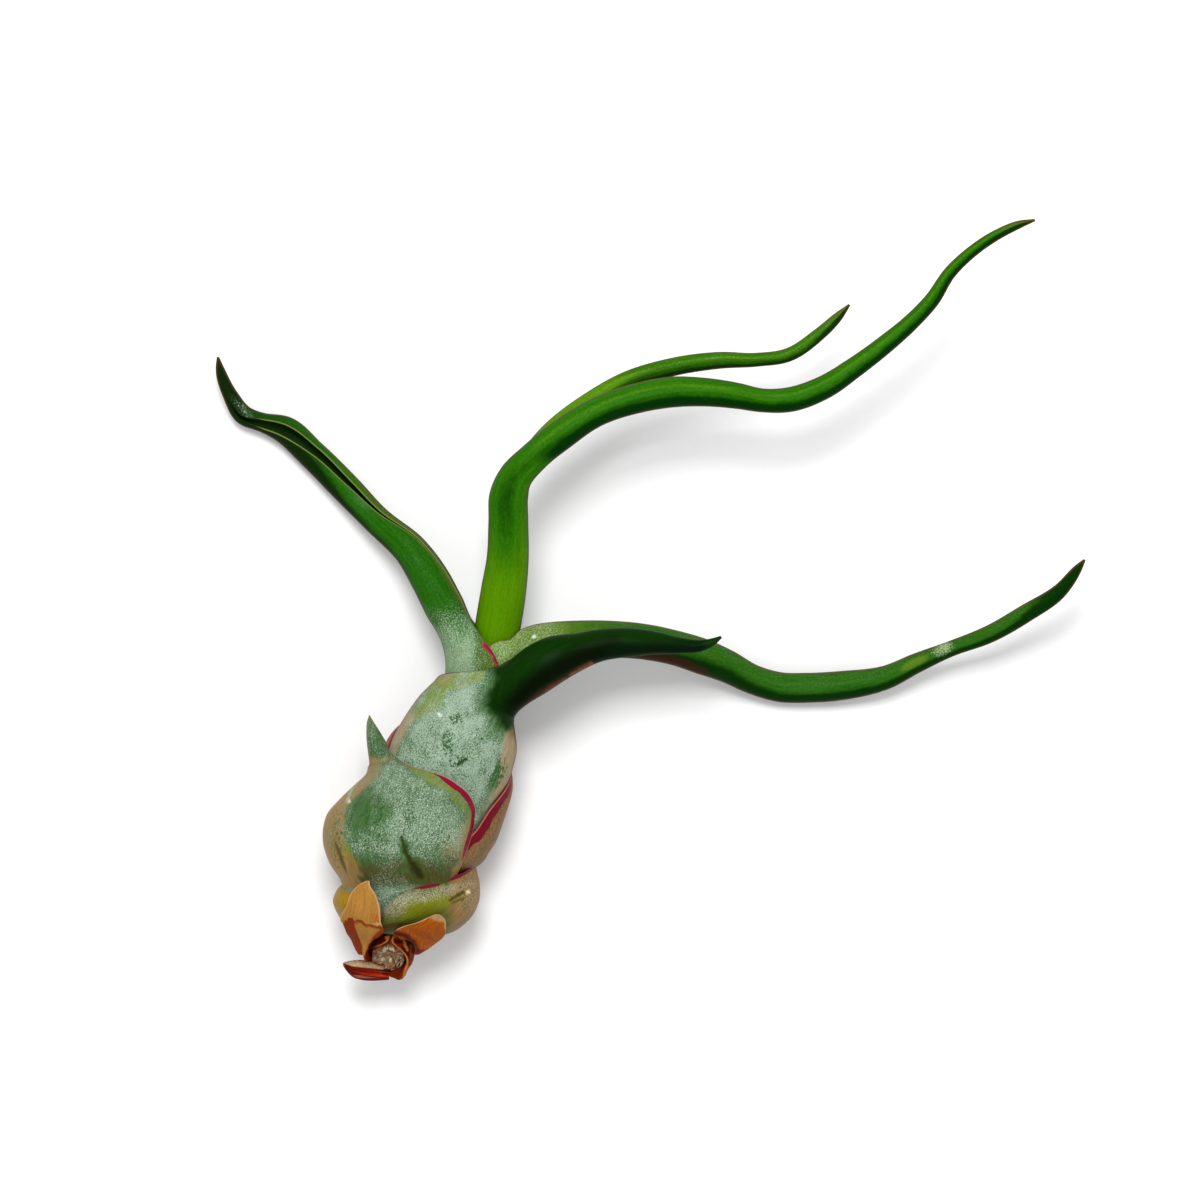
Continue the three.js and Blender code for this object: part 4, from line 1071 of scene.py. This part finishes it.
def paint_left_bract(leaf):
    x, y = leaf.x, leaf.y
    over = above_lip(x, y) + 0.34 * leaf.cloud(0.6)
    below = smooth(0.08, -0.08, over)
    # a pale line along the torn lip: partly the torn edge's own colour, partly a painted highlight
    lip = smooth(0.28, 0.08, np.abs(over - 0.14)) * (1 - leaf.hollow)
    # a painted shadow just under the torn lip
    lip_shadow = smooth(-0.9, -0.25, over) * below
    # the part left of the tongue, where deep paints shade on the bract's side
    left = smooth(0.15, -0.15, past_line(x, y, TONGUE_LEFT))
    right = smooth(-0.3, 0.5, past_line(x, y, TONGUE_RIGHT))
    tongue = below * (1 - left) * (1 - right)
    return {
        "tan": bounded((1 - below) * (1 - 0.6 * smooth(-5.9, -3.8, x) * smooth(-6.4, -9.8, y)) + 0.8 * tongue),
        "glow": bounded(0.75 * lip + tongue * smooth(1.3, 0.2, past_line(x, y, TONGUE_LEFT)) * 0.7),
        # deep: painted shade left of the tongue and painted shadow under the lip
        "deep": bounded(below * left + 0.7 * lip_shadow * (1 - left)),
        "warm": below * right,
        "red": 0.6 * (1 - below),
    }


dry = dict(
    silver=(206, 176, 132), scales_show=0.9, vein_show=1.1, vein_depth=1.4, vein_spacing=0.3, grain=(0.7, 0.3),
    rough=(0.62, 0.75), gloss=0.03,
)
left_skin = leaf_skin(
    "left bract skin", green=(188, 108, 24), dark=(154, 76, 8), glow=(216, 168, 104), tan=(178, 126, 56),
    deep=(138, 48, 6), warm=(150, 62, 6), red=(216, 172, 122), outline=(156, 78, 36), red_width=0.28,
    inside=(150, 80, 30), outline_width=0.22, **dry,
    marks=(((84, 16, 4), 0.8, ((-4.9, -14.7), (-4.0, -13.3), (-2.7, -12.3))),),
)
leaf_piece("bract_left", BRACT_LEFT, paint_left_bract, left_skin, across=80, step=0.2, relief=torn_lip)

# %% Right bract
BRACT_RIGHT = [
    (-2.4, -15.5, 11.5, 4.65, 88, 58, 92), (-1.7, -13.7, 10.9, 6.76, 88, 28, 72),
    (-1.1, -12.2, 10.6, 9.16, 88, -2, 52), (-0.6, -10.9, 10.6, 10.97, 88, 4, 39),
    (-0.5, -10.3, 10.7, 11.49, 88, 13, 36.5), (-0.3, -9.5, 10.8, 12.01, 88, 19.5, 32),
    (-0.2, -9.0, 10.9, 12.46, 88, 23.5, 27),
]


def paint_right_bract(leaf):
    top = leaf.ovals((5.4, -9.2, 2.2, 1.2, -20, 0.9))
    return {
        "scurf": 0.4 * top,
        "tan": top,
        "deep": smooth(2.6, 0.8, leaf.along) * 0.95,
        "warm": leaf.ovals((3.1, -12.5, 3.4, 0.7, -28, 0.6), (5.0, -11.6, 0.8, 2.6, 0, 0.35)),
        "red": smooth(-12.4, -11.1, leaf.y),
        "outline": 0.7,
    }


right_skin = leaf_skin(
    "right bract skin", green=(180, 94, 2), dark=(144, 62, 0), glow=(200, 130, 50), tan=(190, 144, 88),
    deep=(126, 34, 6), warm=(158, 76, 8), red=(226, 172, 118), outline=(196, 92, 40), red_width=0.3,
    inside=(150, 80, 30), outline_width=0.25, **dry,
    marks=(((84, 16, 4), 0.8, ((-1.5, -12.0), (0.2, -12.4), (1.4, -13.6), (1.8, -15.0))),),
)
leaf_piece("bract_right", BRACT_RIGHT, paint_right_bract, right_skin, across=60, step=0.25)

# %% Collar of old leaf bases
BASE_SCALE = [
    (-1.8, -12.0, 11.2, 3.3, 262, -357, -3), (-2.0, -12.8, 11.3, 3.68, 262, -357, -3),
    (-2.2, -13.5, 11.4, 3.83, 262, -356, -4), (-2.3, -14.4, 11.4, 3.96, 262, -338, -22),
    (-2.5, -15.3, 11.3, 3.95, 262, -304, -42), (-2.6, -16.4, 11.1, 3.75, 262, -278, -54),
    (-2.8, -17.6, 10.8, 3.24, 262, -256, -60), (-2.9, -18.7, 10.5, 2.79, 262, -232, -72),
    (-2.9, -19.4, 10.3, 2.03, 262, -205, -95),
]


def paint_collar(leaf):
    low = leaf.ovals((-1.2, -18.1, 2.0, 1.6, 0, 0.9))
    return {
        "tan": low,
        "glow": leaf.ovals((-1.8, -12.6, 2.6, 0.7, 20, 0.7), (0.9, -14.5, 0.45, 2.0, 0, 0.45)),
        "deep": leaf.ovals((-3.0, -13.5, 1.6, 1.2, 0, 0.6), (0.2, -15.1, 0.7, 2.2, 0, 0.85)),
        "warm": smooth(0.55, 0.2, np.abs(leaf.along - 1.6)) * 0.7,
        "red": 1.0,
        "outline": 0.6,
    }


collar_skin = leaf_skin(
    "collar skin", green=(130, 36, 3), dark=(88, 14, 2), glow=(204, 104, 18), tan=(208, 114, 14), deep=(66, 8, 4),
    warm=(74, 10, 4), red=(206, 126, 56), outline=(150, 52, 20), red_width=0.26, inside=(110, 34, 8),
    outline_width=0.3, **dry,
    marks=(
        ((62, 8, 2), 0.8, ((-5.1, -14.8), (-4.2, -13.4), (-2.7, -12.4), (-1.2, -12.1), (0.3, -12.5), (1.3, -13.7))),
        ((196, 116, 48), 0.35, ((-2.7, -13.0), (-1.2, -12.6), (-0.2, -13.3), (0.4, -14.8))),
    ),
)
leaf_piece("base_scale", BASE_SCALE, paint_collar, collar_skin, across=90, step=0.15)

# %% Split husk
STUB_HUSK = [
    (-2.5, -18.9, 8.9, 0.75, 176, 30, 326), (-3.8, -18.6, 9.1, 1.14, 178, 18, 328),
    (-5.3, -18.3, 9.4, 1.47, 180, 12, 330), (-6.8, -18.1, 9.8, 1.5, 182, 10, 332),
    (-8.0, -17.9, 10.3, 1.23, 184, 8, 336), (-8.7, -17.6, 10.7, 0.81, 188, 6, 340),
    (-9.2, -17.3, 11, 0.36, 192, 4, 350),
]


def paint_husk(leaf):
    x, y = leaf.x, leaf.y
    upper = smooth(-17.9, -17.5, y + 0.1 * (x + 6.8)) * (1 - leaf.hollow)
    lower = smooth(-18.7, -18.9, y) * (1 - leaf.hollow)
    return {
        "scurf": 0.75 * upper,
        "tan": upper,
        "warm": lower * smooth(-19.4, -19.2, y) * 0.9,
        "deep": leaf.ovals((-2.6, -18.4, 1.0, 1.2, 0, 0.8)),
        "red": 0.8,
    }


# the inside colour is lighter than the husk's tissue: painted light against the shade in its hollow
husk_skin = leaf_skin(
    "husk skin", green=(124, 26, 12), dark=(84, 8, 6), glow=(160, 40, 10), tan=(170, 132, 112), deep=(52, 4, 6),
    warm=(168, 88, 66), red=(70, 12, 14), outline=(78, 16, 18), red_width=0.22, inside=(222, 70, 30),
    outline_width=0.22, **dry,
)
leaf_piece("stub_husk", STUB_HUSK, paint_husk, husk_skin, across=60, step=0.15)

# %% [markdown]
# ## The broken stem
# The stem snapped off under the lowest leaf. The break is oblique, so its face looks up at the viewer: pale
# fibre bundles with dark gaps, inside a red-brown rind. The gaps are painted shade: the face is painted darker
# where it is torn deeper. The rings of the stem that reach past the plane of the break are pushed back onto it,
# unevenly, and short fibres stand up from the face.

# %% Stem with a torn face
STEM = [
    (-3.4, -19.3, 10.3, 1.2), (-3.2, -18.5, 10.4, 1.65), (-2.9, -17.3, 10.6, 2.18), (-2.5, -16.0, 10.9, 2.55),
    (-2.2, -14.6, 11.1, 2.7), (-1.8, -13.2, 11.1, 2.7), (-1.5, -10.8, 11.1, 2.82), (-1.1, -8.3, 11.1, 2.63),
    (-0.6, -6.5, 11.1, 2.18), (-0.2, -4.5, 11.1, 1.65), (0.3, -2.9, 11.3, 0.98), (0.9, -0.8, 11.5, 0.6),
    (1.3, 0.6, 11.6, 0.42),
]
BREAK_AT = np.array([-2.4, -16.6, 10.9])
BREAK_LEAN, BREAK_TURN = math.radians(51), math.radians(-10)
BREAK_NORMAL = np.array([
    math.sin(BREAK_TURN) * math.sin(BREAK_LEAN),
    -math.cos(BREAK_TURN) * math.sin(BREAK_LEAN),
    math.cos(BREAK_LEAN),
])
STEM_HEADING = math.radians(80)
STEM_AXIS = np.array([-math.cos(STEM_HEADING), -math.sin(STEM_HEADING), 0.0])  # towards the break
CLOSED = 0.05  # radius of the ring that closes the lower end
RINGS, ROUND = 170, 96
STEADY = 9  # rings at the lower end that keep one heading
TEARS = ((0.6, 0.9), (0.55, 2.4), (0.25, 6.0))  # how high and how fine the torn face is, coarse to fine
TEAR_DEPTH = 0.8

stations = np.array([(*STEM[0][:3], CLOSED), *STEM])
along = np.concatenate([[0], np.cumsum(np.linalg.norm(np.diff(stations, axis=0), axis=1))])
fine = smooth_rows(stations, along, np.linspace(0, along[-1], RINGS))
ahead = np.gradient(fine[:, :2], axis=0)
ahead[:STEADY] = ahead[STEADY]
side, face = section_axes(np.degrees(np.arctan2(ahead[:, 1], ahead[:, 0])), np.zeros(RINGS))
angle = np.linspace(0, 2 * np.pi, ROUND, endpoint=False)[None, :, None]
tube = fine[:, None, :3] + fine[:, None, 3:] * (np.sin(angle) * side[:, None] + np.cos(angle) * face[:, None])
points = tube.reshape(-1, 3)
rough = np.array([sum(high * noise.noise(Vector(p) * often) for high, often in TEARS) for p in points.tolist()])
past = (points - BREAK_AT) @ BREAK_NORMAL + TEAR_DEPTH * rough
broken = smooth(-0.15, 0.25, past)
points = points - np.maximum(past, 0)[:, None] * STEM_AXIS / (STEM_AXIS @ BREAK_NORMAL)

row, spoke = np.arange(RINGS - 1)[:, None] * ROUND, np.arange(ROUND)[None, :]
here, following = row + spoke, row + (spoke + 1) % ROUND
walls = np.stack([here, here + ROUND, following + ROUND, following], -1).reshape(-1, 4)
last = len(points) - 1
stem_faces = walls.tolist() + [list(range(ROUND)), list(range(last, last - ROUND, -1))]
stem_piece = mesh_piece("stem_skin", points, stem_faces, {"broken": broken, "flakes": broken, "depth": rough})

# %% Stem skin
torn_stem, skin = new_material("torn stem", 0.1)
spot = skin.place()
bundles = skin.noise(spot, 1300.0, 3.0, 0.6).outputs[0]
patches = skin.noise(spot, 600.0, 3.0).outputs[0]
fibre = skin.mix(skin.step(bundles, 0.44, 0.6), colour(132, 102, 72), colour(198, 180, 150))
fibre = skin.mix(skin.step(patches, 0.5, 0.6), fibre, colour(140, 92, 56))
# painted shade: the torn face darkens where it lies deeper
fibre = skin.mix(skin.step(skin.painted("depth"), 0.0, 0.35), fibre, colour(44, 22, 12))
rind = skin.mix(patches, colour(92, 20, 6), colour(150, 66, 24))
skin.give("Base Color", skin.mix(skin.painted("broken"), rind, fibre))
skin.give("Roughness", skin.step(bundles, 0.3, 0.7, 0.7, 0.9))
skin.give("Normal", skin.bump(bundles, 0.8, 0.15 * MM))
stem_piece.data.materials.append(torn_stem)
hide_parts("stem")
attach(stem_piece, "root")
print("stem:", len(stem_piece.data.polygons), "faces")

# %% [markdown]
# ## Scales and fibres that stand on the skins
# Seen close, each silver scale is a tiny flat plate lying on the leaf. A geometry group strews them where a
# skin's painted value says the scales are thick, each turned at random and slightly tilted, so that they catch
# the light one by one. The same kind of group, with a thin cone in place of the plate, stands the torn fibres
# on the broken stem.

# %% Geometry group: strewn plates or fibres
STREW_TAKES = (
    ("Leaf", "NodeSocketGeometry", None), ("Density", "NodeSocketFloat", 1.0), ("Size", "NodeSocketFloat", MM),
    ("Tilt", "NodeSocketFloat", 0.2), ("Seed", "NodeSocketInt", 1), ("Material", "NodeSocketMaterial", None),
)
LEAST_SIZE, MOST_SIZE = 0.6, 1.3  # of the size given


def strewing_group(name, make_one):
    """A geometry group that strews one small shape over a piece where its value named flakes is high."""
    tree = bpy.data.node_groups.new(name, "GeometryNodeTree")
    for label, kind, value in STREW_TAKES:
        socket = tree.interface.new_socket(label, in_out="INPUT", socket_type=kind)
        if value is not None:
            socket.default_value = value
    tree.interface.new_socket("Strewn", in_out="OUTPUT", socket_type="NodeSocketGeometry")
    board = Board(tree, tree.nodes.new("NodeGroupInput").outputs, tree.nodes.new("NodeGroupOutput").inputs)
    leaf, density, size, tilt, seed, coat = (board.given[label] for label, *_ in STREW_TAKES)
    named = {"Name": "flakes"}
    where = board.node("GeometryNodeInputNamedAttribute", named, data_type="FLOAT").outputs["Attribute"]
    feed = {"Mesh": leaf, "Density": board.times(where, density), "Seed": seed}
    spots = board.node("GeometryNodeDistributePointsOnFaces", feed).outputs
    least = board.times(tilt, -1.0)
    low = board.node("ShaderNodeCombineXYZ", {0: least, 1: least, 2: 0.0}).outputs[0]
    high = board.node("ShaderNodeCombineXYZ", {0: tilt, 1: tilt, 2: 2 * math.pi}).outputs[0]
    feed = {0: low, 1: high, "Seed": seed}
    turned = board.node("FunctionNodeRandomValue", feed, data_type="FLOAT_VECTOR").outputs[0]
    turn = board.node("FunctionNodeEulerToRotation", {0: turned}).outputs[0]
    feed = {0: spots["Rotation"], 1: turn}
    lie = board.node("FunctionNodeRotateRotation", feed, rotation_space="LOCAL").outputs[0]
    grow = board.node("FunctionNodeRandomValue", {2: LEAST_SIZE, 3: MOST_SIZE}, data_type="FLOAT").outputs[1]
    feed = {"Points": spots["Points"], "Instance": make_one(board), "Rotation": lie, "Scale": board.times(grow, size)}
    put = board.node("GeometryNodeInstanceOnPoints", feed).outputs[0]
    feed = {
        "Geometry": put, "Name": "tone",
        "Value": board.node("FunctionNodeRandomValue", data_type="FLOAT").outputs[1],
    }
    toned = board.node("GeometryNodeStoreNamedAttribute", feed, data_type="FLOAT", domain="INSTANCE").outputs[0]
    real = board.node("GeometryNodeRealizeInstances", {0: toned}).outputs[0]
    board.give("Strewn", board.node("GeometryNodeSetMaterial", {"Geometry": real, "Material": coat}).outputs[0])
    return tree


# %% A plate and a fibre to strew, and their skins
def plate(board):
    """A six-sided plate, longer than wide, held just off the skin."""
    disc = board.node("GeometryNodeMeshCircle", {"Vertices": 6, "Radius": 0.5}, fill_type="NGON").outputs[0]
    feed = {"Geometry": disc, "Scale": (1.0, 0.5, 1.0), "Translation": (0, 0, 0.08)}
    return board.node("GeometryNodeTransform", feed).outputs[0]


def fibre_end(board):
    """A thin four-sided cone that stands on its base."""
    feed = {"Vertices": 4, "Side Segments": 1, "Radius Top": 0.03, "Radius Bottom": 0.1, "Depth": 1.0}
    return board.node("GeometryNodeMeshCone", feed).outputs["Mesh"]


def strew(source, tree, name, slot, **inputs):
    """What a geometry group grows on a piece, as a plain mesh piece of its own."""
    modifier = source.modifiers.new(name, "NODES")
    modifier.node_group = tree
    for item in tree.interface.items_tree:
        if item.in_out == "INPUT" and item.name in inputs:
            modifier[item.identifier] = inputs[item.name]
    mesh = bpy.data.meshes.new_from_object(source.evaluated_get(bpy.context.evaluated_depsgraph_get()))
    source.modifiers.remove(modifier)
    mesh.name = name
    piece = linked(name, mesh)
    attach(piece, "root")
    print(name, len(mesh.polygons), "faces")


def strewn_skin(name, pale, dim, rough):
    """The skin of plates or fibres, each in its own tone."""
    made, skin = new_material(name, 0.15)
    tone = skin.painted("tone")
    skin.give("Base Color", skin.mix(tone, colour(*dim), colour(*pale)))
    skin.give("Roughness", skin.step(tone, 0.0, 1.0, rough, rough + 0.15))
    return made


# %% Scales on the sheaths, fibres on the break
A_SQUARE_MM = 1.0e6  # a density of one a square millimetre
PLATE_SIZE, PLATE_TILT = 0.22 * MM, 0.2
FIBRE_SIZE, FIBRE_TILT = 0.28 * MM, 1.1
plates = strewing_group("strewn scales", plate)
silver_plate = strewn_skin("silver plate", (176, 196, 174), (118, 144, 112), 0.6)
cream_plate = strewn_skin("cream plate", (188, 176, 146), (134, 118, 84), 0.6)
for node, density, coat, slot, seed in (
    ("leaf_1_cup", 7, cream_plate, "sheath_tan", 11),
    ("leaf_2_spine", 24, silver_plate, "sheath_grey", 12),
    ("leaf_4_short", 14, silver_plate, "sheath_grey", 14),
    ("leaf_5_left", 3, silver_plate, "blade_green", 15),
    ("leaf_6_right", 4, silver_plate, "blade_green", 16),
):
    strew(skins[node], plates, node + "_scales", slot, Density=density * A_SQUARE_MM, Size=PLATE_SIZE,
          Tilt=PLATE_TILT, Seed=seed, Material=coat)

fibre_coat = strewn_skin("torn fibre", (184, 164, 132), (130, 98, 68), 0.7)
strew(stem_piece, strewing_group("torn fibres", fibre_end), "stem_fibres", "stem", Density=2.5 * A_SQUARE_MM,
      Size=FIBRE_SIZE, Tilt=FIBRE_TILT, Seed=21, Material=fibre_coat)

# %% [markdown]
# ## The floor
# A plain white sheet, with a trace of paper grain in its gloss.

# %% Floor
PAPER_GLOSS = 0.5
paper, sheet = new_material("paper white", PAPER_GLOSS)
grain = sheet.noise(sheet.place(), 900.0, 3.0).outputs[0]
sheet.give("Base Color", sheet.mix(grain, (0.69, 0.69, 0.69, 1), (0.72, 0.72, 0.72, 1)))
sheet.give("Roughness", sheet.step(grain, 0.3, 0.7, 0.8, 0.9))
floor_mesh = bpy.data.meshes.new("floor")
floor_mesh.from_pydata([(-1, -1, 0), (1, -1, 0), (1, 1, 0), (-1, 1, 0)], [], [(0, 1, 2, 3)])
floor_mesh.materials.append(paper)
floor = linked("floor", floor_mesh)
